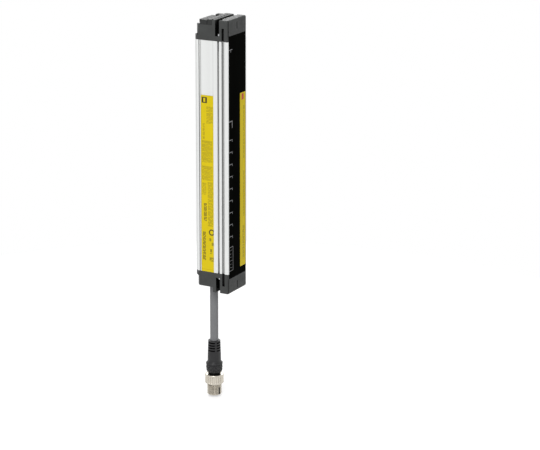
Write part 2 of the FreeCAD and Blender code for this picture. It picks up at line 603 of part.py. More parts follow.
def end_cap(name, lower):
    """One end cap: foot, walls and front block, then its slot, recess, pockets and hollow spigot."""
    body = cap_body(name, lower)
    foot = new_sketch(body, "foot")
    draw_outline(foot, both_sides([
        (CAP_SIDE, CAP_FRONT),
        (CAP_SIDE, "-rear_chamfer"),
        (f"{SIDE} - rear_chamfer", "-cap_inset"),
    ]))
    pad(body, foot, "foot", "cap_foot_height")
    walls = new_sketch(body, "walls")
    draw_outline(walls, both_sides([
        (CAP_SIDE, CAP_FRONT),
        (CAP_SIDE, "-rear_chamfer - cap_rear_step"),
        (f"{SIDE} - rear_chamfer - cap_inset", "-cap_rear_step - cap_inset"),
    ]))
    pad(body, walls, "walls", "cap_wall_height")
    block = new_sketch(body, "front_block")
    draw_rectangle(block, f"-{CAP_SIDE}", CAP_SIDE, CAP_FRONT, f"{FRONT} + {RIB_END}")
    pad(body, block, "front_block", "cap_height")
    dress("Fillet", body, "front_corners", "block_rounding", lambda edge: runs_along_z(edge)
          and close(edge.Vertexes[0].Y, value(CAP_FRONT)))

    slot = new_sketch(body, "cross_slot", "cap_height")
    draw_rectangle(slot, f"-{SIDE}", SIDE, f"{FRONT} + front_block_depth", f"{FRONT} + {SLOT_END}")
    pocket(body, slot, "cross_slot", "cap_height - slot_floor")
    top = value("cap_height")
    rib_front = value(f"{FRONT} + {SLOT_END}")
    dress("Fillet", body, "block_edges", "block_rounding", lambda edge: close(edge.CenterOfMass.z, top)
          and edge.CenterOfMass.y < value(f"{FRONT} + front_block_depth") - TOUCH)
    dress("Fillet", body, "rib_edges", "rib_rounding", lambda edge: close(edge.CenterOfMass.z, top)
          and edge.CenterOfMass.y > rib_front - TOUCH)

    recess = new_sketch(body, "cable_recess", "cap_height")
    draw_rectangle(recess, "-recess_half", "recess_half", f"{FRONT} + {RIB_END}", RECESS_REAR)
    pocket(body, recess, "cable_recess", "cap_height - recess_floor")
    dress("Fillet", body, "recess_corners", "recess_radius", lambda edge: runs_along_z(edge)
          and close(abs(edge.Vertexes[0].X), value("recess_half"))
          and close(edge.Vertexes[0].Y, value(RECESS_REAR)))

    notch = new_sketch(body, "window_notch", "window_overrun + notch_play")
    draw_rectangle(notch, f"-{REBATE_SIDE}", REBATE_SIDE, FRONT, REBATE)
    pocket(body, notch, "window_notch", "window_overrun + notch_play")

    hooks = new_sketch(body, "hook_slots", "hook_slot_height")
    grooves = new_sketch(body, "corner_grooves", "cap_height")
    for sign in ("", "-"):
        draw_rectangle(hooks, f"{sign}({SIDE} - hook_slot_depth)", f"{sign}({SIDE})",
                       f"{FRONT} + hook_slot_start", f"{FRONT} + hook_slot_start + hook_slot_width")
        draw_rectangle(grooves, f"{sign}({SIDE} - corner_groove_inset)",
                       f"{sign}({SIDE} - corner_groove_inset + corner_groove_width)",
                       FRONT, f"{CAP_FRONT} + corner_groove_depth")
    pocket(body, hooks, "hook_slots", "hook_slot_height")
    pocket(body, grooves, "corner_grooves", "cap_height - window_overrun")
    middle = new_sketch(body, "middle_groove", "middle_groove_high")
    draw_rectangle(middle, "-middle_groove_width / 2", "middle_groove_width / 2",
                   FRONT, f"{CAP_FRONT} + corner_groove_depth")
    pocket(body, middle, "middle_groove", "middle_groove_high - middle_groove_low")

    head_pockets = new_sketch(body, "head_pockets", "cap_height")
    rear_channels = new_sketch(body, "rear_channels", "cap_height")
    holes = new_sketch(body, "screw_holes", "slot_floor")
    for x, y in screw_places():
        draw_circle(head_pockets, x, y, "screw_head_radius + screw_play")
        draw_circle(holes, x, y, "screw_radius + screw_play")
    for sign in ("", "-"):
        draw_rectangle(rear_channels, f"{sign}rear_port_side - screw_head_radius - screw_play",
                       f"{sign}rear_port_side + screw_head_radius + screw_play", "-rear_port_inset", "0")
    pocket(body, head_pockets, "head_pockets", "cap_height - slot_floor")
    pocket(body, rear_channels, "rear_channels", "cap_height - slot_floor")
    pocket(body, holes, "screw_holes", "slot_floor")

    seat = new_sketch(body, "gasket_seat", "gasket_thickness")
    draw_outline(seat, cavity_outline("(-gasket_land - gasket_play)", REBATE, track=False))
    pocket(body, seat, "gasket_seat", "gasket_thickness")
    spigot = new_sketch(body, "spigot", "-plug_depth")
    draw_outline(spigot, cavity_outline("plug_gap", f"({REBATE} + plug_setback)"))
    pad(body, spigot, "spigot", "plug_depth + gasket_thickness")
    hollow = new_sketch(body, "spigot_hollow", "gasket_thickness")
    wall = "(plug_gap + plug_wall)"
    draw_outline(hollow, both_sides([
        (f"{ROOM_SIDE} - track_rib - {wall}", f"{TRACK_END} + track_rib + {wall}"),
        (f"{ROOM_SIDE} - track_rib - {wall}", f"-room_rear - {wall}"),
        (f"rear_room_half - {wall}", f"-room_rear - {wall}"),
        (f"rear_room_half - {wall}", f"-rear_wall - {wall}"),
    ]))
    pocket(body, hollow, "spigot_hollow", "plug_depth + gasket_thickness")
    exit_hole = new_sketch(body, "cable_hole", "cap_wall_height")
    draw_circle(exit_hole, "0", CABLE_AXIS, "exit_radius")
    pocket(body, exit_hole, "cable_hole", "cap_wall_height")
    pilots = new_sketch(body, "plug_screw_pilots", "recess_floor")
    for sign in ("", "-"):
        draw_circle(pilots, f"{sign}plug_screw_side", PLUG_SCREW_Y, "plug_screw_radius")
    pocket(body, pilots, "plug_screw_pilots", "recess_floor")
    return body


def cap_gasket(name, lower):
    """The flat gasket around a cap's spigot."""
    body = cap_body(name, lower)
    ring = new_sketch(body, "gasket")
    draw_outline(ring, cavity_outline("(-gasket_land)", REBATE, track=False))
    draw_outline(ring, cavity_outline("plug_gap", f"({REBATE} + plug_setback)"))
    pad(body, ring, "gasket", "gasket_thickness")
    return body


def cap_screws(name, lower):
    """The four screws of a cap, with cross recesses."""
    body = cap_body(name, lower, several=True)
    shanks = new_sketch(body, "shanks", "slot_floor - screw_length")
    heads = new_sketch(body, "heads", "slot_floor")
    for x, y in screw_places():
        draw_circle(shanks, x, y, "screw_radius")
        draw_circle(heads, x, y, "screw_head_radius")
    pad(body, shanks, "shanks", "screw_length")
    pad(body, heads, "heads", "screw_head_height")
    drives = new_sketch(body, "drives", "slot_floor + screw_head_height")
    for x, y in screw_places():
        draw_cross(drives, x, y, "drive_length", "drive_width")
    pocket(body, drives, "drives", "drive_depth")
    return body


# Blanking plug

PLUG_WALL_TOP = "(cap_wall_height + plug_play)"
PLUG_FRONT = f"({FRONT} + {RIB_END} + plug_play)"
PLUG_STEP = f"({FRONT} + {RIB_END} + plug_step_depth)"
PLUG_HEAD_SIDE = "(recess_half + plug_cover)"
PLUG_HEAD_TOP = "(cap_height - plug_head_drop)"
PLUG_TAB_TOP = "(cap_height - plug_tab_drop)"
SEAL_LOW = "(gasket_thickness + ring_seal_rise)"


def blanking_plug():
    """The plug that fills the cable recess of the upper cap, with its stepped head and side tabs."""
    body = cap_body("blanking_plug", False)
    core = new_sketch(body, "core", "recess_floor")
    draw_rectangle(core, "-(recess_half - plug_play)", "recess_half - plug_play",
                   PLUG_FRONT, f"{RECESS_REAR} - plug_play")
    pad(body, core, "core", f"{PLUG_WALL_TOP} - recess_floor")
    dress("Fillet", body, "core_corners", "recess_radius", lambda edge: runs_along_z(edge)
          and close(edge.Vertexes[0].Y, value(f"{RECESS_REAR} - plug_play")))
    rear_head = new_sketch(body, "rear_head", PLUG_WALL_TOP)
    draw_rectangle(rear_head, f"-{PLUG_HEAD_SIDE}", PLUG_HEAD_SIDE, PLUG_FRONT, "-plug_inset")
    pad(body, rear_head, "rear_head", f"{PLUG_HEAD_TOP} - {PLUG_WALL_TOP}")
    front_head = new_sketch(body, "front_head", PLUG_WALL_TOP)
    draw_rectangle(front_head, f"-{CAP_SIDE}", CAP_SIDE, PLUG_FRONT, PLUG_STEP)
    pad(body, front_head, "front_head", f"cap_height - {PLUG_WALL_TOP}")
    tabs = new_sketch(body, "tabs", PLUG_WALL_TOP)
    for sign in ("", "-"):
        draw_rectangle(tabs, f"{sign}({PLUG_HEAD_SIDE} - plug_play)", f"{sign}{CAP_SIDE}",
                       f"{PLUG_STEP} + plug_tab_gap", "-plug_tab_inset")
    pad(body, tabs, "tabs", f"{PLUG_TAB_TOP} - {PLUG_WALL_TOP}")
    side = value(CAP_SIDE)
    tops = (value("cap_height"), value(PLUG_TAB_TOP))
    dress("Fillet", body, "head_edges", "wall_rounding", lambda edge: close(abs(edge.CenterOfMass.x), side)
          and any(close(edge.CenterOfMass.z, top) for top in tops))

    spigot = new_sketch(body, "spigot", "gasket_thickness")
    draw_circle(spigot, "0", CABLE_AXIS, "exit_radius - plug_play")
    pad(body, spigot, "spigot", "recess_floor - gasket_thickness")
    groove = new_sketch(body, "seal_groove", f"{SEAL_LOW} + ring_seal_height + plug_play")
    draw_circle(groove, "0", CABLE_AXIS, "exit_radius - ring_seal_width - plug_play")
    draw_circle(groove, "0", CABLE_AXIS, "exit_radius + plug_play")
    pocket(body, groove, "seal_groove", "ring_seal_height + 2 * plug_play")
    holes = new_sketch(body, "screw_holes", PLUG_HEAD_TOP)
    counterbores = new_sketch(body, "counterbores", PLUG_HEAD_TOP)
    for sign in ("", "-"):
        draw_circle(holes, f"{sign}plug_screw_side", PLUG_SCREW_Y, "plug_screw_radius + plug_play")
        draw_circle(counterbores, f"{sign}plug_screw_side", PLUG_SCREW_Y, "plug_screw_head + plug_play")
    pocket(body, holes, "screw_holes", f"{PLUG_HEAD_TOP} - recess_floor")
    pocket(body, counterbores, "counterbores", "plug_screw_head_height")
    return body


def plug_seal():
    """The ring in the groove of the blanking plug's spigot."""
    body = cap_body("plug_seal", False)
    ring = new_sketch(body, "ring", SEAL_LOW)
    draw_circle(ring, "0", CABLE_AXIS, "exit_radius - ring_seal_width")
    draw_circle(ring, "0", CABLE_AXIS, "exit_radius")
    pad(body, ring, "ring", "ring_seal_height")
    return body


def plug_screws():
    """The two screws of the blanking plug."""
    body = cap_body("plug_screws", False, several=True)
    shanks = new_sketch(body, "shanks", "gasket_thickness")
    heads = new_sketch(body, "heads", f"{PLUG_HEAD_TOP} - plug_screw_head_height")
    drives = new_sketch(body, "drives", PLUG_HEAD_TOP)
    for sign in ("", "-"):
        draw_circle(shanks, f"{sign}plug_screw_side", PLUG_SCREW_Y, "plug_screw_radius")
        draw_circle(heads, f"{sign}plug_screw_side", PLUG_SCREW_Y, "plug_screw_head")
        draw_cross(drives, f"{sign}plug_screw_side", PLUG_SCREW_Y, "plug_screw_head", "drive_width")
    pad(body, shanks, "shanks", f"{PLUG_HEAD_TOP} - plug_screw_head_height - gasket_thickness")
    pad(body, heads, "heads", "plug_screw_head_height")
    pocket(body, drives, "drives", "plug_screw_head_height / 2")
    return body


# Optics and electronics. Their bodies start at the lowest beam.

BEAMS = f"{BEAM_SPACES} + 1"
BOARD_SCREWS = f"floor(({BEAM_SPACES} - 1) / board_screw_count) + 1"
BOARD_SCREW_STEP = "board_screw_count * beam_pitch"
FLANGE_REAR = f"({TRACK_END} - frame_gap / 2)"
EMITTER_HOLE = "(emitter_edge + 2 * emitter_play)"

# Places along the board, from the lowest beam and clear of the board screws
PROCESSOR_PLACE = "2 * beam_pitch"
DRIVER_PLACES = ("4.3 * beam_pitch", "4.9 * beam_pitch")
CAPACITOR_PLACES = ("beam_pitch", "1.5 * beam_pitch")


def optics_body(name, several=False):
    """A body whose own Z = 0 is the height of the lowest beam."""
    return new_body(name, f"-{BEAM_SPAN} / 2", several=several)


def optics_frame():
    """The black frame that slides in the profile's track, with one square tapered barrel for each beam."""
    body = optics_body("optics_frame")
    section = new_sketch(body, "frame", FRAME_START)
    draw_outline(section, both_sides([
        (f"{NECK_SIDE} - frame_gap", SHOULDER),
        (f"{NECK_SIDE} - frame_gap", f"{ROOM} + frame_gap"),
        (f"{ROOM_SIDE} - frame_gap", f"{ROOM} + frame_gap"),
        (f"{ROOM_SIDE} - frame_gap", FLANGE_REAR),
    ]))
    pad(body, section, "frame", FRAME_LENGTH)

    screw_boss = new_sketch(body, "screw_boss", f"-{BOARD}", "XZ_Plane")
    draw_square(screw_boss, "0", HALF_PITCH, "(2 * board_screw_radius + 2 * boss_wall)")
    screw_bosses = pad(body, screw_boss, "screw_boss", f"{BOARD} - {FLANGE_REAR}")
    repeat_along(body, [screw_bosses], "screw_bosses", BOARD_SCREW_STEP, BOARD_SCREWS)
    boss = new_sketch(body, "emitter_boss", f"-{BOARD}", "XZ_Plane")
    draw_square(boss, "0", "0", f"({EMITTER_HOLE} + 2 * boss_wall)")
    bosses = pad(body, boss, "emitter_boss", f"{BOARD} - {FLANGE_REAR}")
    repeat_along(body, [bosses], "emitter_bosses", "beam_pitch", BEAMS)

    mouth = new_sketch(body, "barrel", f"-{SHOULDER}", "XZ_Plane")
    draw_square(mouth, "0", "0", "barrel_front")
    taper = pocket(body, mouth, "barrel", "barrel_depth")
    taper.setExpression("TaperAngle", formula("-atan((barrel_front - barrel_rear) / 2 / barrel_depth)"))
    hole = new_sketch(body, "emitter_hole", f"-{SHOULDER}", "XZ_Plane")
    draw_square(hole, "0", "0", EMITTER_HOLE)
    straight = pocket(body, hole, "emitter_hole", f"{BOARD} - {SHOULDER}")
    repeat_along(body, [taper, straight], "barrels", "beam_pitch", BEAMS)

    pilot = new_sketch(body, "screw_pilot", f"board_screw_depth + frame_gap - {BOARD}", "XZ_Plane")
    draw_circle(pilot, "0", HALF_PITCH, "board_screw_radius")
    pilots = pocket(body, pilot, "screw_pilot", "board_screw_depth + frame_gap")
    repeat_along(body, [pilots], "screw_pilots", BOARD_SCREW_STEP, BOARD_SCREWS)
    pipe = new_sketch(body, "pipe_hole", f"-{SHOULDER}", "XZ_Plane")
    draw_square(pipe, PIPE_X, HALF_PITCH, "(pipe_edge + 2 * pipe_play)")
    pipes = pocket(body, pipe, "pipe_hole", f"{FLANGE_REAR} - {SHOULDER}")
    repeat_along(body, [pipes], "pipe_holes", "beam_pitch", BEAM_SPACES)
    return body


def lens_strip():
    """The clear strip on the frame, with one lens for each beam."""
    body = optics_body("lens_strip")
    strip = new_sketch(body, "strip", FRAME_START)
    draw_rectangle(strip, f"-({MOUTH_SIDE} - frame_gap)", f"{MOUTH_SIDE} - frame_gap",
                   f"{SHOULDER} - lens_plate", SHOULDER)
    pad(body, strip, "strip", FRAME_LENGTH)
    section = new_sketch(body, "lens", "-lens_edge / 2", "YZ_Plane")
    draw_lens(section, f"({SHOULDER} - lens_plate)", "lens_edge", "lens_sag")
    lens = pad(body, section, "lens", "lens_edge")
    repeat_along(body, [lens], "lenses", "beam_pitch", BEAMS)
    return body


def infrared_emitters():
    """One square emitter with its lens for each beam, standing on the board in its barrel."""
    body = optics_body("infrared_emitters", several=True)
    base = new_sketch(body, "emitter_base", f"-{BOARD}", "XZ_Plane")
    draw_square(base, "0", "0", "emitter_edge")
    bases = pad(body, base, "emitter_base", "emitter_base")
    section = new_sketch(body, "emitter_lens", "-emitter_lens_edge / 2", "YZ_Plane")
    draw_lens(section, f"({BOARD} - emitter_base)", "emitter_lens_edge", "emitter_lens_sag")
    lenses = pad(body, section, "emitter_lens", "emitter_lens_edge")
    repeat_along(body, [bases, lenses], "emitters", "beam_pitch", BEAMS)
    return body


def indicator_light_pipes():
    """Clear pins that carry the status lamps' light to the lens strip."""
    body = optics_body("indicator_light_pipes", several=True)
    pin = new_sketch(body, "pin", f"lamp_height + pipe_play - {BOARD}", "XZ_Plane")
    draw_square(pin, PIPE_X, HALF_PITCH, "pipe_edge")
    pins = pad(body, pin, "pin", f"{BOARD} - lamp_height - 2 * pipe_play - {SHOULDER}")
    repeat_along(body, [pins], "pins", "beam_pitch", BEAM_SPACES)
    return body


def status_lamps():
    """One small lamp on the board under each light pipe."""
    body = optics_body("status_lamps", several=True)
    lamp = new_sketch(body, "lamp", f"-{BOARD}", "XZ_Plane")
    draw_square(lamp, PIPE_X, HALF_PITCH, "lamp_size")
    lamps = pad(body, lamp, "lamp", "lamp_height")
    repeat_along(body, [lamps], "lamps", "beam_pitch", BEAM_SPACES)
    return body


def emitter_board():
    """The board on the frame's bosses."""
    body = optics_body("emitter_board")
    section = new_sketch(body, "board", FRAME_START)
    draw_rectangle(section, f"-{BOARD_SIDE}", BOARD_SIDE, BOARD, BOARD_REAR)
    pad(body, section, "board", FRAME_LENGTH)
    hole = new_sketch(body, "screw_hole", f"-{BOARD}", "XZ_Plane")
    draw_circle(hole, "0", HALF_PITCH, "board_screw_radius + pipe_play")
    holes = pocket(body, hole, "screw_hole", "board_thickness")
    repeat_along(body, [holes], "screw_holes", BOARD_SCREW_STEP, BOARD_SCREWS)
    return body


def board_screws():
    """The screws that hold the board to the frame."""
    body = optics_body("board_screws", several=True)
    head = new_sketch(body, "head", f"-{BOARD_REAR} - board_head_height", "XZ_Plane")
    draw_circle(head, "0", HALF_PITCH, "board_head_radius")
    heads = pad(body, head, "head", "board_head_height")
    shank = new_sketch(body, "shank", f"-{BOARD_REAR}", "XZ_Plane")
    draw_circle(shank, "0", HALF_PITCH, "board_screw_radius")
    shanks = pad(body, shank, "shank", "board_thickness + board_screw_depth")
    repeat_along(body, [heads, shanks], "screws", BOARD_SCREW_STEP, BOARD_SCREWS)
    return body


def control_chips():
    """The processor and two driver chips on the back of the board, between its screws."""
    body = optics_body("control_chips", several=True)
    chips = new_sketch(body, "chips", f"-{BOARD_REAR} - chip_height", "XZ_Plane")
    draw_square(chips, "0", PROCESSOR_PLACE, "processor_edge")
    for place in DRIVER_PLACES:
        draw_rectangle(chips, "-driver_width / 2", "driver_width / 2", place, f"{place} + driver_length")
    pad(body, chips, "chips", "chip_height")
    return body


def power_capacitors():
    """The two capacitors of the supply."""
    body = optics_body("power_capacitors", several=True)
    cans = new_sketch(body, "cans", f"-{BOARD_REAR} - capacitor_height", "XZ_Plane")
    for place in CAPACITOR_PLACES:
        draw_circle(cans, "0", place, "capacitor_radius")
    pad(body, cans, "cans", "capacitor_height")
    return body


# Cable exit and cable

BOARD_END = "(plug_depth + frame_end_gap)"


def cable_header():
    """The header on the board where the leads end."""
    body = new_body("cable_header", "-housing_length / 2")
    section = new_sketch(body, "header", f"{BOARD_END} + header_rise")
    draw_rectangle(section, "-header_half", "header_half", BOARD_REAR, f"{BOARD_REAR} + header_height")
    pad(body, section, "header", "header_length")
    return body


def inner_leads():
    """Four leads side by side, from the end of the cable to the header."""
    body = new_body("inner_leads", "-housing_length / 2", forward=CABLE_AXIS)
    leads = new_sketch(body, "leads", "plug_depth")
    draw_rectangle(leads, "-lead_ribbon_width / 2", "lead_ribbon_width / 2",
                   "-lead_thickness / 2", "lead_thickness / 2")
    pad(body, leads, "leads", "frame_end_gap + header_rise")
    return body


def cable_bush():
    """The rubber bush in the cable hole: inner flange and bevelled stem."""
    body = new_body("cable_bush", "-housing_length / 2", True, CABLE_AXIS)
    section = new_sketch(body, "bush", plane="XZ_Plane")
    draw_outline(section, [
        ("cable_radius + cable_play", "gasket_thickness - bush_flange_height"),
        ("bush_flange_radius", "gasket_thickness - bush_flange_height"),
        ("bush_flange_radius", "gasket_thickness"),
        ("exit_radius - cable_play", "gasket_thickness"),
        ("exit_radius - cable_play", "recess_floor + bush_rise - bush_bevel"),
        ("exit_radius - cable_play - bush_bevel", "recess_floor + bush_rise"),
        ("cable_radius + cable_play", "recess_floor + bush_rise"),
    ])
    revolve(body, section, "bush")
    return body


def cable_clamp():
    """The crimp ring that keeps the cable from being pulled out."""
    body = new_body("cable_clamp", "-housing_length / 2", True, CABLE_AXIS)
    ring = new_sketch(body, "ring", "gasket_thickness - bush_flange_height - clamp_height")
    draw_circle(ring, "0", "0", "clamp_radius")
    draw_circle(ring, "0", "0", "cable_radius + cable_play / 2")
    pad(body, ring, "ring", "clamp_height")
    return body


def cable():
    """The straight hanging cable, from its clamp into the connector."""
    body = new_body("cable", CONNECTOR_TOP, forward=CABLE_AXIS)
    section = new_sketch(body, "cable", "-cable_insertion")
    draw_circle(section, "0", "0", "cable_radius")
    pad(body, section, "cable", "cable_insertion + boot_drop + plug_depth")
    return body


# Connector. Its bodies stand on the cable's axis.

def relief_profile():
    """The outer line of the ribbed strain relief, downwards from its top."""
    points = []
    for number in range(1, int(value("relief_groove_count")) + 1):
        share = f"({number} / (relief_groove_count + 1))"
        radius = f"(relief_top_radius + (relief_bottom_radius - relief_top_radius) * {share})"
        middle = f"relief_length * {share}"
        points += [
            (radius, f"-({middle} - relief_groove_width / 2)"),
            (f"{radius} - relief_groove_depth", f"-({middle} - relief_groove_width / 2)"),
            (f"{radius} - relief_groove_depth", f"-({middle} + relief_groove_width / 2)"),
            (radius, f"-({middle} + relief_groove_width / 2)"),
        ]
    return points


def connector_body():
    """The overmoulding: strain relief, smooth body, fluted grip and the spigot for the nut."""
    body = new_body("connector_body", CONNECTOR_TOP, forward=CABLE_AXIS)
    section = new_sketch(body, "moulding", plane="XZ_Plane")
    grip_top = "(relief_length + body_length)"
    bore_end = f"({GRIP_END} + running_gap - tail_rise)"
    top = [("cable_radius + cable_play", "0"), ("relief_top_radius", "0")]
    draw_outline(section, top + relief_profile() + [
        ("relief_bottom_radius", "-relief_length"),
        ("body_radius", f"-{grip_top} + grip_bevel"),
        ("grip_radius - grip_bevel", f"-{grip_top}"),
        ("grip_radius", f"-{grip_top} - grip_bevel"),
        ("grip_radius", f"-{GRIP_END} + grip_bevel"),
        ("grip_radius - grip_bevel", f"-{GRIP_END}"),
        ("spigot_radius", f"-{GRIP_END}"),
        ("spigot_radius", f"-{GRIP_END} - spigot_length"),
        ("tail_radius + tail_play", f"-{GRIP_END} - spigot_length"),
        ("tail_radius + tail_play", f"-{bore_end}"),
        ("0", f"-{bore_end}"),
        ("0", "-cable_insertion"),
        ("cable_radius + cable_play", "-cable_insertion"),
    ])
    revolve(body, section, "moulding")
    flute = new_sketch(body, "flute", f"-{grip_top} - flute_margin")
    draw_rectangle(flute, "grip_radius - flute_depth", "grip_radius + flute_depth",
                   "-flute_width / 2", "flute_width / 2")
    flutes = pocket(body, flute, "flute", "grip_length - 2 * flute_margin")
    repeat_around(body, [flutes], "flutes", "flute_count")
    return body


def coupling_nut():
    """The nut that turns on the connector: knurled ring, inner lip and threaded sleeve."""
    body = new_body("coupling_nut", NUT_TOP, forward=CABLE_AXIS)
    section = new_sketch(body, "nut", plane="XZ_Plane")
    lip_low = "(spigot_length + lip_thickness)"
    end = "(knurl_length + thread_length)"
    draw_outline(section, [
        ("spigot_radius + running_gap", "0"),
        ("knurl_radius - knurl_bevel", "0"),
        ("knurl_radius", "-knurl_bevel"),
        ("knurl_radius", "-knurl_length + knurl_bevel"),
        ("knurl_radius - knurl_bevel", "-knurl_length"),
        ("neck_turn_radius", "-knurl_length"),
        ("neck_turn_radius", "-knurl_length - neck_turn_width"),
        ("thread_radius", "-knurl_length - neck_turn_width"),
        ("thread_radius", f"-{end} + sleeve_bevel"),
        ("thread_radius - sleeve_bevel", f"-{end}"),
        ("sleeve_bore", f"-{end}"),
        ("sleeve_bore", f"-{lip_low}"),
        ("lip_bore", f"-{lip_low}"),
        ("lip_bore", "-spigot_length"),
        ("spigot_radius + running_gap", "-spigot_length"),
    ])
    revolve(body, section, "nut")
    groove = new_sketch(body, "knurl", "-knurl_margin")
    draw_outline(groove, [
        ("knurl_radius - knurl_depth", "0"),
        ("knurl_radius + knurl_depth", "-knurl_gap"),
        ("knurl_radius + knurl_depth", "knurl_gap"),
    ])
    knurls = pocket(body, groove, "knurl", "knurl_length - 2 * knurl_margin")
    repeat_around(body, [knurls], "knurls", "knurl_count")
    return body


def contact_places():
    """One contact in the middle and four around it."""
    return [
        ("0", "0"),
        ("contact_circle", "0"),
        ("0", "contact_circle"),
        ("-contact_circle", "0"),
        ("0", "-contact_circle"),
    ]


def contact_carrier():
    """The insert that holds the contacts and, by its flange, the nut."""
    body = new_body("contact_carrier", NUT_TOP, forward=CABLE_AXIS)
    section = new_sketch(body, "carrier", plane="XZ_Plane")
    spigot_end = "(spigot_length - running_gap)"
    draw_outline(section, [
        ("0", "tail_rise"),
        ("tail_radius", "tail_rise"),
        ("tail_radius", f"-{spigot_end}"),
        ("lip_bore - running_gap", f"-{spigot_end}"),
        ("lip_bore - running_gap", f"-{CARRIER_FLANGE}"),
        ("sleeve_bore - running_gap", f"-{CARRIER_FLANGE}"),
        ("sleeve_bore - running_gap", f"-{CARRIER_FLANGE} - carrier_head_height"),
        ("0", f"-{CARRIER_FLANGE} - carrier_head_height"),
    ])
    revolve(body, section, "carrier")
    return body


def contact_pins():
    """The five contact pins, standing on the carrier's face."""
    body = new_body("contact_pins", NUT_TOP, forward=CABLE_AXIS, several=True)
    pins = new_sketch(body, "pins", "-contact_tip")
    for x, y in contact_places():
        draw_circle(pins, x, y, "contact_radius")
    pad(body, pins, "pins", f"contact_tip - {CARRIER_FLANGE} - carrier_head_height")
    return body


# Labels, plain fields of colour

def side_label():
    """The long label in the recess of the left side."""
    body = new_body("side_label", "-housing_length / 2")
    section = new_sketch(body, "label")
    draw_rectangle(section, f"-({SIDE} - label_recess) - label_thickness", f"-({SIDE} - label_recess)",
                   f"{FRONT} + label_start + label_margin", "-label_inset - label_margin")
    pad(body, section, "label", "housing_length / 2 + label_top")
    return body


def window_label():
    """The narrow label on the window."""
    body = new_body("window_label", "-housing_length / 2 + window_label_low")
    section = new_sketch(body, "label")
    right = f"({REBATE_SIDE} - window_gap - window_label_edge)"
    draw_rectangle(section, f"{right} - window_label_width", right,
                   f"{FRONT} + window_recess - label_thickness", f"{FRONT} + window_recess")
    pad(body, section, "label", "housing_length / 2 - window_label_low + label_top")
    return body


parts = [
    housing_extrusion(),
    front_window(),
    window_seal(),
    end_cap("top_cap", False),
    end_cap("bottom_cap", True),
    cap_gasket("top_cap_gasket", False),
    cap_gasket("bottom_cap_gasket", True),
    cap_screws("top_cap_screws", False),
    cap_screws("bottom_cap_screws", True),
    blanking_plug(),
    plug_seal(),
    plug_screws(),
    optics_frame(),
    lens_strip(),
    infrared_emitters(),
    indicator_light_pipes(),
    status_lamps(),
    emitter_board(),
    board_screws(),
    control_chips(),
    power_capacitors(),
    cable_header(),
    inner_leads(),
    cable_bush(),
    cable_clamp(),
    cable(),
    connector_body(),
    coupling_nut(),
    contact_carrier(),
    contact_pins(),
    side_label(),
    window_label(),
]
document.recompute()

for item in document.Objects:
    if "Invalid" in item.State or "Error" in item.State:
        raise RuntimeError(f"{item.Label} failed: {item.State}")
for part in parts:
    if part.Shape.isNull() or not part.Shape.isValid() or part.Shape.Volume <= 0:
        raise RuntimeError(f"{part.Label} has no valid shape")

os.makedirs("parts", exist_ok=True)
for part in parts:
    part.Shape.exportStep(f"parts/{part.Label}.step")
    print(part.Label, len(part.Shape.Solids), round(part.Shape.Volume, 1))
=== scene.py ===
from math import atan2, cos, floor, pi, radians, sin, tau
from random import Random

import bmesh
import bpy
from bpy.props import FloatProperty, FloatVectorProperty, IntProperty, PointerProperty
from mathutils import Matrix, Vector


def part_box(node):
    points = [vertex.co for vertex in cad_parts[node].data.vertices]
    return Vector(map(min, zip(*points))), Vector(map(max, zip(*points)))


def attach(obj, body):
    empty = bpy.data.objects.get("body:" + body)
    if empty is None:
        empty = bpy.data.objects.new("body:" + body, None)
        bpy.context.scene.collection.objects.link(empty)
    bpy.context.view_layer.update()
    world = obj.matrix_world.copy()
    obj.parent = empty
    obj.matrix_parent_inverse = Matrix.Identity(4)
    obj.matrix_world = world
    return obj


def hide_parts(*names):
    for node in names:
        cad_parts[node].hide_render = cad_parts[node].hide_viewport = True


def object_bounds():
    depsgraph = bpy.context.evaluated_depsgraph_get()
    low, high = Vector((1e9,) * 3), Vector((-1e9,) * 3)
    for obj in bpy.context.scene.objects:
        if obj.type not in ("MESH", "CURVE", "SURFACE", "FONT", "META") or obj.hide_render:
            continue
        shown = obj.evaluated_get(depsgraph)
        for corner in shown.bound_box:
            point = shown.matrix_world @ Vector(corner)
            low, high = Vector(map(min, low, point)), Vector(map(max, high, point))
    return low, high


# Safety light curtain: one bar with its cable and round connector, dressed around its CAD frame.
# Z runs up the bar, the window faces -Y, and the rear face lies on Y = 0. Lengths are in metres.

bl_info = {
    "name": "Safety light curtain",
    "version": (1, 0, 0),
    "blender": (4, 5, 0),
    "location": "View3D > Sidebar > Light curtain",
    "description": "Finishes, cable, threads, marks and studio for a safety light curtain",
    "category": "Add Mesh",
}

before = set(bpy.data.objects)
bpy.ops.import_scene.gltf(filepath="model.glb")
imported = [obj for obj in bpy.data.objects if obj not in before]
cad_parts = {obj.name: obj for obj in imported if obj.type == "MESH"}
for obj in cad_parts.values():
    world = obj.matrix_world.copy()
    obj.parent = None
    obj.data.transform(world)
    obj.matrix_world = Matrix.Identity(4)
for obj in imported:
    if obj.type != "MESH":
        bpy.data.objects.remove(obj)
CAD_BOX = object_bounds()

MM = 0.001
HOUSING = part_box("housing_extrusion")
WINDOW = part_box("front_window")
SIDE_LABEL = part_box("side_label")
WINDOW_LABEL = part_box("window_label")
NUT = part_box("coupling_nut")
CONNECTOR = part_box("connector_body")
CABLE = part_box("cable")
CABLE_AXIS = (CABLE[0] + CABLE[1]) / 2


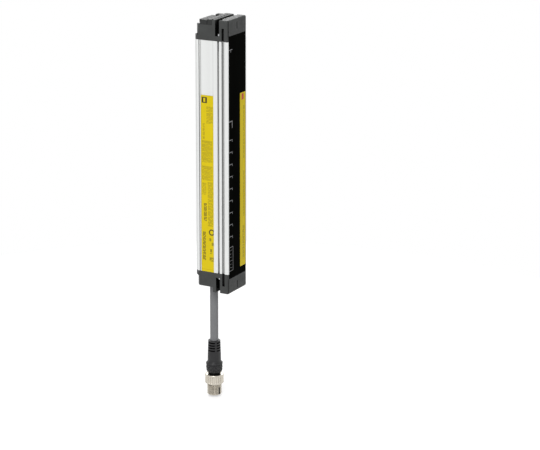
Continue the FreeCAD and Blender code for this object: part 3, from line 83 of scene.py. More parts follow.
class CurtainSizes(bpy.types.PropertyGroup):
    """Sizes of the pieces that are made here."""

    thread_pitch: FloatProperty(
        name="Thread pitch", description="Pitch of the coupling thread", default=1 * MM, unit="LENGTH")
    thread_depth: FloatProperty(
        name="Thread depth", description="Depth of the coupling thread", default=0.5 * MM, unit="LENGTH")
    knurl_count: IntProperty(
        name="Knurl teeth", description="Teeth around the coupling nut", default=24)
    knurl_depth: FloatProperty(
        name="Knurl depth", description="Depth of the nut's knurl", default=0.55 * MM, unit="LENGTH")
    grip_lines: IntProperty(
        name="Grip lines", description="Crossing lines around the grip collar", default=12)
    grip_depth: FloatProperty(
        name="Grip depth", description="Depth of the grip's diamonds", default=0.55 * MM, unit="LENGTH")
    screw_pitch: FloatProperty(
        name="Screw pitch", description="Pitch of the cap screws", default=1.1 * MM, unit="LENGTH")
    mark_thickness: FloatProperty(
        name="Mark thickness", description="Thickness of printed marks", default=0.02 * MM, unit="LENGTH")


class CurtainColours(bpy.types.PropertyGroup):
    """Base colours of the finishes."""

    aluminium: FloatVectorProperty(
        name="Aluminium", description="Clear anodised profile", subtype="COLOR", default=(0.80, 0.81, 0.80))
    cap: FloatVectorProperty(
        name="End cap", description="Grey moulding of the caps", subtype="COLOR",
        default=(0.058, 0.060, 0.059))
    window: FloatVectorProperty(
        name="Window", description="Black infrared window", subtype="COLOR",
        default=(0.0042, 0.0043, 0.0038))
    label: FloatVectorProperty(
        name="Label", description="Yellow films", subtype="COLOR", default=(0.74, 0.575, 0.014))
    ink: FloatVectorProperty(
        name="Label print", description="Print on the yellow films", subtype="COLOR",
        default=(0.035, 0.026, 0.008))
    patch: FloatVectorProperty(
        name="Patch", description="Warm patch on the window film", subtype="COLOR",
        default=(0.58, 0.10, 0.045))
    mark: FloatVectorProperty(
        name="Window print", description="Marks printed on the window", subtype="COLOR",
        default=(0.27, 0.27, 0.28))
    cable: FloatVectorProperty(
        name="Cable", description="Grey cable jacket", subtype="COLOR", default=(0.195, 0.198, 0.205))
    connector: FloatVectorProperty(
        name="Connector", description="Dark overmoulding", subtype="COLOR", default=(0.014, 0.014, 0.015))
    nickel: FloatVectorProperty(
        name="Nickel", description="Plated coupling nut", subtype="COLOR", default=(0.57, 0.53, 0.46))
    floor: FloatVectorProperty(
        name="Floor", description="Studio floor", subtype="COLOR", default=(0.6, 0.6, 0.6))


def sizes():
    """The sizes as they are set now."""
    return bpy.context.scene.curtain_sizes


def colours():
    """The colours as they are set now."""
    return bpy.context.scene.curtain_colours


# Finishes


class Finish:
    """A node material on one shader, with patterns in the frame's own metres."""

    # Openness over which the painted shade in grooves and corners fades in.
    SHELTERED = (0.5, 0.96)

    def __init__(self, name, colour, roughness=0.5, metallic=0.0, specular=0.5):
        self.material = bpy.data.materials.new(name)
        self.material.use_nodes = True
        self.tree = self.material.node_tree
        self.shader = self.tree.nodes["Principled BSDF"]
        self.colour = tuple(colour)
        self.shader.inputs["Base Color"].default_value = (*self.colour, 1)
        self.shader.inputs["Roughness"].default_value = roughness
        self.shader.inputs["Metallic"].default_value = metallic
        self.shader.inputs["Specular IOR Level"].default_value = specular
        self.coordinates = self.tree.nodes.new("ShaderNodeTexCoord").outputs["Object"]

    def node(self, kind, inputs=(), **settings):
        """A node with some of its inputs linked or set."""
        made = self.tree.nodes.new(kind)
        for name, setting in settings.items():
            setattr(made, name, setting)
        for name, source in dict(inputs).items():
            if isinstance(source, bpy.types.NodeSocket):
                self.tree.links.new(source, made.inputs[name])
            else:
                made.inputs[name].default_value = source
        return made

    def stretched(self, stretch):
        """Coordinates multiplied along X, Y and Z."""
        mapping = self.node("ShaderNodeMapping", {"Vector": self.coordinates, "Scale": stretch})
        return mapping.outputs["Vector"]

    def noise(self, grain, detail=3.0, stretch=(1, 1, 1), distortion=0.0):
        """Noise with a grain size in metres, divided along each axis by its stretch."""
        return self.node("ShaderNodeTexNoise", {
            "Vector": self.stretched(stretch), "Scale": 1 / grain,
            "Detail": detail, "Distortion": distortion,
        }).outputs["Fac"]

    def cells(self, grain):
        """Rounded cells with a size in metres."""
        return self.node("ShaderNodeTexVoronoi", {
            "Vector": self.coordinates, "Scale": 1 / grain}, feature="SMOOTH_F1").outputs["Distance"]

    def remap(self, source, low, high, start=0.3, end=0.7):
        """A factor that runs from low to high while the source runs from start to end."""
        return self.node("ShaderNodeMapRange", {
            "Value": source, "From Min": start, "From Max": end, "To Min": low, "To Max": high,
        }).outputs["Result"]

    def math(self, operation, first, second=0.0):
        """One sum over two factors."""
        made = self.tree.nodes.new("ShaderNodeMath")
        made.operation = operation
        for place, source in enumerate((first, second)):
            if isinstance(source, bpy.types.NodeSocket):
                self.tree.links.new(source, made.inputs[place])
            else:
                made.inputs[place].default_value = source
        return made.outputs["Value"]

    def shade(self, pattern, dark, light, start=0.3, end=0.7):
        """Base colour that runs from dark to light times the colour, over a pattern."""
        stops = self.node("ShaderNodeValToRGB", {"Fac": pattern})
        stops.color_ramp.elements[0].position = start
        stops.color_ramp.elements[1].position = end
        for element, share in zip(stops.color_ramp.elements, (dark, light)):
            element.color = (*[min(1, part * share) for part in self.colour], 1)
        self.tree.links.new(stops.outputs["Color"], self.shader.inputs["Base Color"])
        return stops.outputs["Color"]

    def tint(self, pattern, base, colour):
        """The base colour changed towards another one where a pattern is strong."""
        mixed = self.node("ShaderNodeMix", {"Factor": pattern}, data_type="RGBA")
        first, second = [socket for socket in mixed.inputs if socket.type == "RGBA"]
        self.tree.links.new(base, first)
        second.default_value = (*colour, 1)
        result = next(socket for socket in mixed.outputs if socket.type == "RGBA")
        self.tree.links.new(result, self.shader.inputs["Base Color"])
        return result

    def rough(self, pattern, low, high):
        """Roughness that runs from low to high over a pattern."""
        self.tree.links.new(self.remap(pattern, low, high), self.shader.inputs["Roughness"])

    def relief(self, height, depth):
        """A bump of a depth in metres, on top of any bump made before."""
        bump = self.node("ShaderNodeBump", {"Height": height, "Distance": depth, "Strength": 1.0})
        before = self.shader.inputs["Normal"].links
        if before:
            self.tree.links.new(before[0].from_socket, bump.inputs["Normal"])
        self.tree.links.new(bump.outputs["Normal"], self.shader.inputs["Normal"])

    def crevice_shade(self, base, colour, reach, strength):
        """Painted shade: the base colour darkened and the gloss dulled in grooves and corners, by how
        closed in they are.
        """
        openness = self.node("ShaderNodeAmbientOcclusion", {"Distance": reach}, samples=8).outputs["AO"]
        gloss = self.shader.inputs["Specular IOR Level"]
        self.tree.links.new(self.remap(openness, 0.0, gloss.default_value, *self.SHELTERED), gloss)
        return self.tint(self.remap(openness, strength, 0.0, *self.SHELTERED), base, colour)

    def edge_mask(self, axis, places, reach):
        """1 at planes across an axis, given in metres, fading out over a reach."""
        part = self.node("ShaderNodeSeparateXYZ", {"Vector": self.coordinates}).outputs[axis]
        mask = None
        for place in places:
            distance = self.math("ABSOLUTE", self.math("SUBTRACT", part, place))
            near = self.remap(distance, 1.0, 0.0, 0.0, reach)
            mask = near if mask is None else self.math("MAXIMUM", mask, near)
        return mask


def anodised_aluminium():
    """Clear anodised extrusion: satin, with faint die lines along the bar and painted shade in its grooves
    and slits.
    """
    made = Finish("anodised_aluminium", colours().aluminium, roughness=0.38, metallic=0.3, specular=0.2)
    lines = made.noise(0.6 * MM, 2.0, (1, 1, 0.004))
    bands = made.math("MULTIPLY", made.noise(4 * MM, 2.0, (1, 1, 0.02)), 0.5)
    cloud = made.math("MULTIPLY", made.noise(35 * MM, 3.0, (1, 1, 0.5)), 0.5)
    base = made.shade(made.math("ADD", bands, cloud), 0.96, 1.04)
    ends = made.edge_mask("Z", [HOUSING[0].z, HOUSING[1].z], 0.5 * MM)
    base = made.tint(made.math("MULTIPLY", ends, 0.5), base, (0.95, 0.95, 0.95))
    # Painted shade: grooves and slits darkened towards grey.
    made.crevice_shade(base, (0.10, 0.10, 0.10), reach=1.7 * MM, strength=0.85)
    made.rough(made.noise(1.2 * MM, 2.0, (1, 1, 0.01)), 0.33, 0.45)
    made.relief(lines, 0.012 * MM)
    made.relief(made.noise(0.3 * MM, 4.0), 0.004 * MM)
    return made.material


def moulded_grey(name, colour, spark=0.025 * MM):
    """Grey glass-filled moulding: fine eroded grain, painted shade on the front corners and in the slots
    and recesses, end edges worn lighter.
    """
    made = Finish(name, colour, roughness=0.5, specular=0.13)
    cloud = made.noise(9 * MM, 4.0)
    base = made.shade(cloud, 0.90, 1.10)
    # Painted shade along the front corners, where the sides meet the front.
    corner_reach = 1.1 * MM
    outside = made.edge_mask("X", [HOUSING[0].x, HOUSING[1].x], corner_reach)
    front = made.edge_mask("Y", [HOUSING[0].y], corner_reach)
    corner = made.math("MULTIPLY", outside, front)
    base = made.tint(made.math("MULTIPLY", corner, 0.8), base, [part * 0.2 for part in colour])
    ends = made.edge_mask("Z", [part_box("bottom_cap")[0].z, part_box("top_cap")[1].z], 0.5 * MM)
    worn = made.math("MULTIPLY", ends, made.remap(made.noise(1.5 * MM), 0.2, 1.0))
    base = made.tint(made.math("MULTIPLY", worn, 0.3), base, [min(1, part * 2.2) for part in colour])
    # Painted shade: slots and recesses of the caps darkened nearly to black.
    made.crevice_shade(base, [part * 0.04 for part in colour], reach=8 * MM, strength=0.98)
    made.rough(made.noise(2.5 * MM, 3.0), 0.42, 0.6)
    made.relief(made.cells(0.38 * MM), spark)
    made.relief(made.noise(0.7 * MM, 4.0), spark)
    return made.material


def smoked_window():
    """Black infrared window: polished, with faint flow and hairline scratches."""
    made = Finish("smoked_window", colours().window, roughness=0.16, specular=0.0)
    base = made.shade(made.noise(20 * MM, 2.0, (1, 1, 0.25)), 0.8, 1.25)
    scratches = made.noise(0.9 * MM, 2.0, (1, 1, 0.05), 0.6)
    made.tint(made.remap(scratches, 0.0, 0.25, start=0.66, end=0.78), base, (0.03, 0.03, 0.032))
    made.rough(made.noise(12 * MM, 3.0), 0.12, 0.22)
    made.relief(made.noise(30 * MM, 1.0), 0.03 * MM)
    return made.material


def rubber(name, colour):
    """Matt rubber with a fine bloom."""
    made = Finish(name, colour, roughness=0.78, specular=0.3)
    made.shade(made.noise(4 * MM, 4.0), 0.75, 1.3)
    made.rough(made.noise(2 * MM, 3.0), 0.7, 0.85)
    made.relief(made.noise(0.4 * MM, 4.0), 0.02 * MM)
    return made.material


def plated_steel(name, colour, roughness=0.32):
    """Plated steel with drawn marks and a few duller spots."""
    made = Finish(name, colour, roughness=roughness, metallic=1.0)
    made.shade(made.noise(2.2 * MM, 3.0), 0.86, 1.1)
    made.rough(made.noise(0.9 * MM, 3.0), roughness - 0.08, roughness + 0.12)
    made.relief(made.noise(0.3 * MM, 3.0), 0.01 * MM)
    return made.material


def nickel_plate():
    """Nickel on brass: warm and bright, with painted shade and dulled gloss between the teeth, and dark
    painted shade in the notches and the bore.
    """
    made = Finish("nickel_plate", colours().nickel, roughness=0.26, metallic=1.0)
    base = made.shade(made.noise(4 * MM, 2.0), 0.94, 1.05)
    place = made.node("ShaderNodeSeparateXYZ", {"Vector": made.coordinates})
    reach = made.math("SQRT", made.math("ADD", made.math("POWER", place.outputs["X"], 2.0), made.math(
        "POWER", made.math("SUBTRACT", place.outputs["Y"], CABLE_AXIS.y), 2.0)))
    # Painted shade: notch floors and the bore, inside a reach from the axis, darkened nearly to black.
    hollow_shade = made.remap(reach, 0.95, 0.0, start=5.05 * MM, end=5.35 * MM)
    base = made.tint(hollow_shade, base, (0.02, 0.018, 0.016))
    # Painted shade between the knurl teeth and in the thread roots.
    made.crevice_shade(base, (0.06, 0.054, 0.045), reach=0.5 * MM, strength=0.7)
    made.rough(made.noise(1.2 * MM, 4.0), 0.20, 0.36)
    made.relief(made.noise(0.5 * MM, 3.0, (1, 1, 4)), 0.002 * MM)
    return made.material


def moulding(name, colour, roughness=0.5, grain=0.5 * MM, depth=0.012 * MM, specular=0.4):
    """A plain moulded plastic with fine grain."""
    made = Finish(name, colour, roughness=roughness, specular=specular)
    made.shade(made.noise(5 * MM, 4.0), 0.85, 1.2)
    made.rough(made.noise(2 * MM, 3.0), roughness - 0.07, roughness + 0.1)
    made.relief(made.noise(grain, 4.0), depth)
    return made.material


def connector_plastic():
    """Dark overmoulding: satin on the crests, with painted shade and dulled gloss in the grooves of the
    relief and the grip.
    """
    made = Finish("connector_moulding", colours().connector, roughness=0.36, specular=0.34)
    base = made.shade(made.noise(4 * MM, 4.0), 0.85, 1.2)
    # Painted shade: grooves of the relief and the grip darkened nearly to black.
    made.crevice_shade(base, (0.001, 0.001, 0.001), reach=2.6 * MM, strength=0.98)
    made.rough(made.noise(2 * MM, 3.0), 0.3, 0.46)
    made.relief(made.noise(0.6 * MM, 4.0), 0.012 * MM)
    return made.material


def clear_plastic(name, colour):
    """Clear moulded optics with a trace of flow lines."""
    made = Finish(name, colour, roughness=0.06)
    made.shader.inputs["Transmission Weight"].default_value = 0.9
    made.shader.inputs["IOR"].default_value = 1.49
    made.shade(made.noise(10 * MM, 2.0), 0.93, 1.05)
    made.relief(made.noise(8 * MM, 2.0), 0.01 * MM)
    return made.material


def circuit_board():
    """Green solder mask with traces that run along the board."""
    made = Finish("circuit_board", (0.012, 0.085, 0.03), roughness=0.35)
    base = made.shade(made.noise(6 * MM, 3.0), 0.85, 1.15)
    traces = made.noise(1.6 * MM, 0.0, (1, 1, 0.12))
    lines = made.remap(traces, 0.0, 1.0, start=0.50, end=0.53)
    made.tint(made.math("MULTIPLY", lines, 0.6), base, (0.02, 0.15, 0.05))
    made.rough(made.noise(3 * MM), 0.3, 0.42)
    made.relief(lines, 0.02 * MM)
    return made.material


def cable_jacket():
    """Grey jacket: smooth, with soft ripples from the cores inside and a little dust."""
    made = Finish("cable_jacket", colours().cable, roughness=0.42, specular=0.25)
    base = made.shade(made.noise(6 * MM, 3.0, (1, 1, 0.4)), 0.92, 1.07)
    dust = made.remap(made.noise(1.2 * MM, 5.0), 0.0, 0.3, start=0.58, end=0.75)
    made.tint(dust, base, (0.34, 0.34, 0.34))
    made.rough(made.noise(3 * MM, 3.0), 0.36, 0.5)
    made.relief(made.noise(4.5 * MM, 1.0, (1, 1, 0.5)), 0.06 * MM)
    made.relief(made.noise(0.4 * MM, 3.0), 0.006 * MM)
    return made.material


def label_film():
    """Yellow film: even colour, slight orange peel and rubbed long edges."""
    made = Finish("label_yellow", colours().label, roughness=0.45, specular=0.08)
    base = made.shade(made.noise(30 * MM, 3.0, (1, 1, 0.4)), 0.95, 1.05)
    edges = made.edge_mask("Z", [SIDE_LABEL[1].z, WINDOW_LABEL[0].z], 0.5 * MM)
    made.tint(made.math("MULTIPLY", edges, 0.35), base, (0.42, 0.30, 0.02))
    made.rough(made.noise(4 * MM, 3.0), 0.33, 0.45)
    made.relief(made.noise(2.2 * MM, 2.0), 0.008 * MM)
    return made.material


def printed_ink(name, colour):
    """Ink with uneven cover."""
    made = Finish(name, colour, roughness=0.55, specular=0.3)
    made.shade(made.noise(0.8 * MM, 4.0), 0.8, 1.15)
    made.relief(made.noise(0.3 * MM, 3.0), 0.004 * MM)
    return made.material


def dress(material, *nodes):
    """Give CAD nodes a material."""
    for name in nodes:
        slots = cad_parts[name].data.materials
        slots.clear()
        slots.append(material)


# Meshes


def new_piece(name, shape, material, body, smooth=radians(35)):
    """An object from a bmesh, smooth up to an angle, that rides on a CAD body."""
    mesh = bpy.data.meshes.new(name)
    bmesh.ops.recalc_face_normals(shape, faces=shape.faces)
    shape.to_mesh(mesh)
    shape.free()
    mesh.polygons.foreach_set("use_smooth", [True] * len(mesh.polygons))
    mesh.set_sharp_from_angle(angle=smooth)
    mesh.materials.append(material)
    made = bpy.data.objects.new(name, mesh)
    bpy.context.scene.collection.objects.link(made)
    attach(made, body)
    return made


def turn(shape, centre, rows, steps, closed=False):
    """Skin rows of height and reach about a vertical axis. A reach may be a function of the turn."""
    rings = []
    for height, reach in rows:
        ring = []
        for step in range(steps):
            angle = tau * step / steps
            radius = reach(angle) if callable(reach) else reach
            ring.append(shape.verts.new((
                centre[0] + radius * cos(angle), centre[1] + radius * sin(angle), height)))
        rings.append(ring)
    following = rings[1:] + rings[:1] if closed else rings[1:]
    for ring, after in zip(rings, following):
        for step in range(steps):
            ahead = (step + 1) % steps
            shape.faces.new((ring[step], ring[ahead], after[ahead], after[step]))
    if not closed:
        shape.faces.new(rings[0])
        shape.faces.new(rings[-1])


def thread_reach(height, crest, depth, pitch, flat=0.35):
    """Reach of a right-hand thread at a height, as a function of the turn. A share of it is flat."""
    def reach(angle):
        place = (height / pitch - angle / tau) % 1
        slope = abs(place - 0.5) * 2
        return crest - depth * min(1, max(0, (slope - flat / 2) / (1 - flat)))
    return reach


def cross_reach(length, width):
    """Edge of a cross-shaped recess, as a function of the turn."""
    def reach(angle):
        folded = angle % (pi / 2)
        folded = min(folded, pi / 2 - folded)
        if folded < atan2(width, length):
            return length / 2 / cos(folded)
        return width / 2 / sin(folded)
    return reach


def slab(shape, low, high):
    """A box between two corners."""
    corners = [shape.verts.new((x, y, z)) for x in (low[0], high[0]) for y in (low[1], high[1])
               for z in (low[2], high[2])]
    for face in ((0, 1, 3, 2), (4, 6, 7, 5), (0, 4, 5, 1), (2, 3, 7, 6), (0, 2, 6, 4), (1, 5, 7, 3)):
        shape.faces.new([corners[number] for number in face])


# Cable

CABLE_DIAMETER = CABLE[1].x - CABLE[0].x
CABLE_ROUTE = (
    (0.0, -0.0090, -0.0905),
    (0.0, -0.0090, -0.1150),
    (0.0, -0.0090, -0.1395),
    (0.0, -0.0090, -0.1640),
)


class CURTAIN_OT_cable(bpy.types.Operator):
    """Hang the grey cable from the lower cap into its connector"""

    bl_idname = "curtain.cable"
    bl_label = "Cable"

    def execute(self, context):
        curve = bpy.data.curves.new("supply_cable", "CURVE")
        curve.dimensions = "3D"
        curve.bevel_depth = CABLE_DIAMETER / 2
        curve.bevel_resolution = 12
        curve.use_fill_caps = True
        line = curve.splines.new("NURBS")
        line.points.add(len(CABLE_ROUTE) - 1)
        for point, place in zip(line.points, CABLE_ROUTE):
            point.co = (*place, 1)
        line.order_u = 3
        line.use_endpoint_u = True
        line.resolution_u = 12
        curve.materials.append(cable_jacket())
        made = bpy.data.objects.new("supply_cable", curve)
        context.scene.collection.objects.link(made)
        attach(made, "root")
        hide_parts("cable")
        return {"FINISHED"}


# Coupling nut


class CURTAIN_OT_coupling_nut(bpy.types.Operator):
    """Turn the nickel coupling nut with its knurl, thread and notches"""

    bl_idname = "curtain.coupling_nut"
    bl_label = "Coupling nut"

    knurl_length = 8.0 * MM
    bevel = 0.6 * MM
    rim = 0.9 * MM
    slope_end = 1.17 * MM
    slope_share = 0.8
    teeth_start = 1.44 * MM
    tooth_rows = 12
    neck_reach = 5.4 * MM
    neck_end = 9.2 * MM
    end_reach = 5.6 * MM
    rim_reach = 5.3 * MM
    crest = 6.0 * MM
    bore = 4.9 * MM
    lip_bore = 4.2 * MM
    lip_top = 6.4 * MM
    lip_end = 8.2 * MM
    spigot_bore = 5.0 * MM
    notch_depth = 1.0 * MM
    notch_half = 1.6 * MM
    notch_turn = radians(-8)
    notch_top = 11.2 * MM
    steps = 192
    rows_per_pitch = 12

    def knurl(self, fade):
        """Reach of the knurled ring: rounded teeth, fading towards its rims."""
        crest = (NUT[1].x - NUT[0].x) / 2
        count = sizes().knurl_count
        depth = sizes().knurl_depth * fade
        return lambda angle: crest - depth * cos(count * angle / 2) ** 2

    def sleeve(self, depth):
        """Reach of the threaded sleeve at a depth, with its two notches."""
        thread = thread_reach(-depth, self.crest, sizes().thread_depth, sizes().thread_pitch)

        def reach(angle):
            across = abs(cos(angle - self.notch_turn)) * self.crest
            if depth > self.notch_top and across < self.notch_half:
                return self.crest - self.notch_depth
            return thread(angle)
        return reach

    def execute(self, context):
        top = NUT[1].z
        crest = (NUT[1].x - NUT[0].x) / 2
        length = NUT[1].z - NUT[0].z
        rows = [
            (0.0, self.spigot_bore),
            (0.0, crest - self.bevel),
            (self.bevel / 3, crest - self.bevel / 3),
            (self.bevel, crest),
            (self.rim, self.knurl(0.0)),
            (self.slope_end, self.knurl(self.slope_share)),
        ]
        run = self.knurl_length - 2 * self.teeth_start
        for number in range(self.tooth_rows + 1):
            rows.append((self.teeth_start + run * number / self.tooth_rows, self.knurl(1.0)))
        rows += [
            (self.knurl_length - self.slope_end, self.knurl(self.slope_share)),
            (self.knurl_length - self.rim, self.knurl(0.0)),
            (self.knurl_length - self.bevel, crest),
            (self.knurl_length - self.bevel / 3, crest - self.bevel / 3),
            (self.knurl_length, crest - self.bevel),
            (self.knurl_length, self.neck_reach),
            (self.neck_end, self.neck_reach),
        ]
        step = sizes().thread_pitch / self.rows_per_pitch
        thread_end = length - self.bevel
        for number in range(floor((thread_end - self.neck_end) / step) + 1):
            rows.append((self.neck_end + number * step, self.sleeve(self.neck_end + number * step)))
        rows += [
            (thread_end, self.end_reach),
            (length, self.rim_reach),
            (length, self.bore),
            (self.lip_end, self.bore),
            (self.lip_end, self.lip_bore),
            (self.lip_top, self.lip_bore),
            (self.lip_top, self.spigot_bore),
        ]
        shape = bmesh.new()
        turn(shape, CABLE_AXIS, [(top - depth, reach) for depth, reach in rows], self.steps, closed=True)
        made = new_piece("threaded_coupling_nut", shape, nickel_plate(), "coupling_nut")
        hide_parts("coupling_nut")
        return {"FINISHED"}


# Connector moulding


class CURTAIN_OT_connector(bpy.types.Operator):
    """Mould the connector: ribbed strain relief, smooth body and diamond grip"""

    bl_idname = "curtain.connector"
    bl_label = "Connector moulding"

    relief_length = 10.0 * MM
    relief_top = 5.1 * MM
    relief_end = 5.4 * MM
    rib_count = 4
    rib_depth = 1.3 * MM
    spine_count = 4
    relief_rows = 72
    relief_first_row = 3
    spine_edge = 0.97
    spine_rise = 12
    groove_power = 0.6
    top_bevel = 0.3 * MM
    top_bevel_depth = 0.25 * MM
    flare_length = 0.3 * MM
    flare_step = 0.05 * MM
    body_reach = 5.6 * MM
    shoulder = 1.2 * MM
    lip_length = 0.5 * MM
    lip_step = 0.15 * MM
    grip_top = 19.0 * MM
    grip_end = 27.8 * MM
    collar = 1.6 * MM
    collar_edge = 0.15 * MM
    collar_step = 0.45 * MM
    collar_groove = 0.25 * MM
    # Roundings of the grip: distance from its end, and step in from its outside.
    grip_shoulder = ((0.0, 0.8 * MM), (0.25 * MM, 0.2 * MM), (0.7 * MM, 0.0))
    grip_foot = ((0.9 * MM, 0.7 * MM), (0.3 * MM, 1.1 * MM), (0.0, 1.5 * MM))
    lines_start = 0.4 * MM
    lines_margin = 1.3 * MM
    grip_inset = 0.08 * MM
    grip_rows = 60
    taper_start = 0.6
    taper = 0.35 * MM
    cable_bore = 3.42 * MM
    spigot = 4.9 * MM
    tail_bore = 3.65 * MM
    steps = 176

    def rib(self, depth):
        """Reach of the strain relief: grooves between ribs, bridged by four spines."""
        share = depth / self.relief_length
        outside = self.relief_top + (self.relief_end - self.relief_top) * share
        wave = sin(pi * (share * (2 * self.rib_count + 1) - 1))
        groove = max(0.0, wave) ** self.groove_power * self.rib_depth

        def reach(angle):
            spine = abs(cos(self.spine_count / 2 * (angle - pi / 4)))
            return outside - groove * min(1.0, max(0.0, (self.spine_edge - spine) * self.spine_rise))
        return reach

    def diamonds(self, depth, outside):
        """Reach of the grip: two sets of crossing lines."""
        lines = sizes().grip_lines
        rise = lines * depth / outside

        def reach(angle):
            one = abs(sin(lines * angle / 2 + rise / 2))
            other = abs(sin(lines * angle / 2 - rise / 2))
            return outside - sizes().grip_depth * (1 - min(one, other) ** self.groove_power)
        return reach

    def execute(self, context):
        top = CONNECTOR[1].z
        outside = (CONNECTOR[1].x - CONNECTOR[0].x) / 2
        length = CONNECTOR[1].z - CONNECTOR[0].z
        rows = [
            (0.0, self.cable_bore),
            (0.0, self.relief_top - self.top_bevel),
            (self.top_bevel_depth, self.relief_top),
        ]
        for number in range(self.relief_first_row, self.relief_rows + 1):
            depth = self.relief_length * number / self.relief_rows
            rows.append((depth, self.rib(depth)))
        rows += [
            (self.relief_length + self.flare_length, self.relief_end + self.flare_step),
            (self.grip_top - self.shoulder, self.body_reach),
            (self.grip_top - self.lip_length, self.body_reach + self.lip_step),
        ]
        rows += [(self.grip_top + along, outside - inset) for along, inset in self.grip_shoulder]
        collar_end = self.grip_top + self.collar
        rows += [
            (collar_end - self.collar_edge, outside),
            (collar_end, outside - self.collar_step),
            (collar_end + self.collar_groove, outside - self.collar_step),
        ]
        start = collar_end + self.lines_start
        end = self.grip_end - self.lines_margin
        for number in range(self.grip_rows + 1):
            share = number / self.grip_rows
            taper = self.taper * max(0.0, (share - self.taper_start) / (1 - self.taper_start)) ** 2
            depth = start + (end - start) * share
            rows.append((depth, self.diamonds(depth, outside - self.grip_inset - taper)))
        rows += [(self.grip_end - along, outside - inset) for along, inset in self.grip_foot]
        rows += [
            (self.grip_end, self.spigot),
            (length, self.spigot),
            (length, self.tail_bore),
            (self.grip_end, self.tail_bore),
            (self.relief_length, self.cable_bore),
        ]
        shape = bmesh.new()
        turn(shape, CABLE_AXIS, [(top - depth, reach) for depth, reach in rows], self.steps, closed=True)
        made = new_piece("connector_overmoulding", shape, connector_plastic(), "root",
                         smooth=radians(50))
        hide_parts("connector_body")
        return {"FINISHED"}


# Cap screws


class CURTAIN_OT_cap_screws(bpy.types.Operator):
    """Cut the threads and cross recesses of the eight cap screws"""

    bl_idname = "curtain.cap_screws"
    bl_label = "Cap screws"

    front_side = 12.2 * MM
    front_depth = -22.3 * MM
    rear_side = 9.2 * MM
    rear_depth = -3.6 * MM
    crest = 1.2 * MM
    root_depth = 0.28 * MM
    head = 2.2 * MM
    head_height = 1.7 * MM
    # Crown of the head: depth, and step in from its outside.
    head_crown = ((0.0, 0.6 * MM), (0.15 * MM, 0.2 * MM), (0.55 * MM, 0.0))
    recess_length = 2.4 * MM
    recess_width = 0.6 * MM
    recess_depth = 0.8 * MM
    recess_wall = 0.7
    recess_floor = 0.6
    plain_shank = 0.3 * MM
    tip = 1.2 * MM
    tip_reach = 0.4 * MM
    steps = 48
    rows_per_pitch = 8

    def screw(self, shape, place, outer, direction):
        """One screw with its head's top at the height outer, pointing down for 1 and up for -1."""
        pitch = sizes().screw_pitch
        low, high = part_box("top_cap_screws")
        length = high.z - low.z
        recess = cross_reach(self.recess_length, self.recess_width)
        rows = [
            (self.recess_depth, lambda angle: recess(angle) * self.recess_floor),
            (self.recess_depth * self.recess_wall, recess),
            (0.0, recess),
        ]
        rows += [(depth, self.head - inset) for depth, inset in self.head_crown]
        rows += [
            (self.head_height, self.head),
            (self.head_height, self.crest - self.root_depth),
        ]
        step = pitch / self.rows_per_pitch
        start = self.head_height + self.plain_shank
        end = length - self.tip
        for number in range(floor((end - start) / step) + 1):
            depth = start + number * step
            rows.append((depth, thread_reach(-depth * direction, self.crest, self.root_depth, pitch)))
        rows.append((length, self.tip_reach))
        turn(shape, place, [(outer - depth * direction, reach) for depth, reach in rows], self.steps)

    def execute(self, context):
        finish = plated_steel("zinc_steel", (0.50, 0.51, 0.52))
        for node, direction in (("top_cap_screws", 1), ("bottom_cap_screws", -1)):
            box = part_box(node)
            outer = box[1].z if direction > 0 else box[0].z
            shape = bmesh.new()
            for side in (-1, 1):
                self.screw(shape, (side * self.front_side, self.front_depth), outer, direction)
                self.screw(shape, (side * self.rear_side, self.rear_depth), outer, direction)
            made = new_piece(f"{node}_threaded", shape, finish, "root")
            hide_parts(node)
        return {"FINISHED"}


# Marks on the window and the films


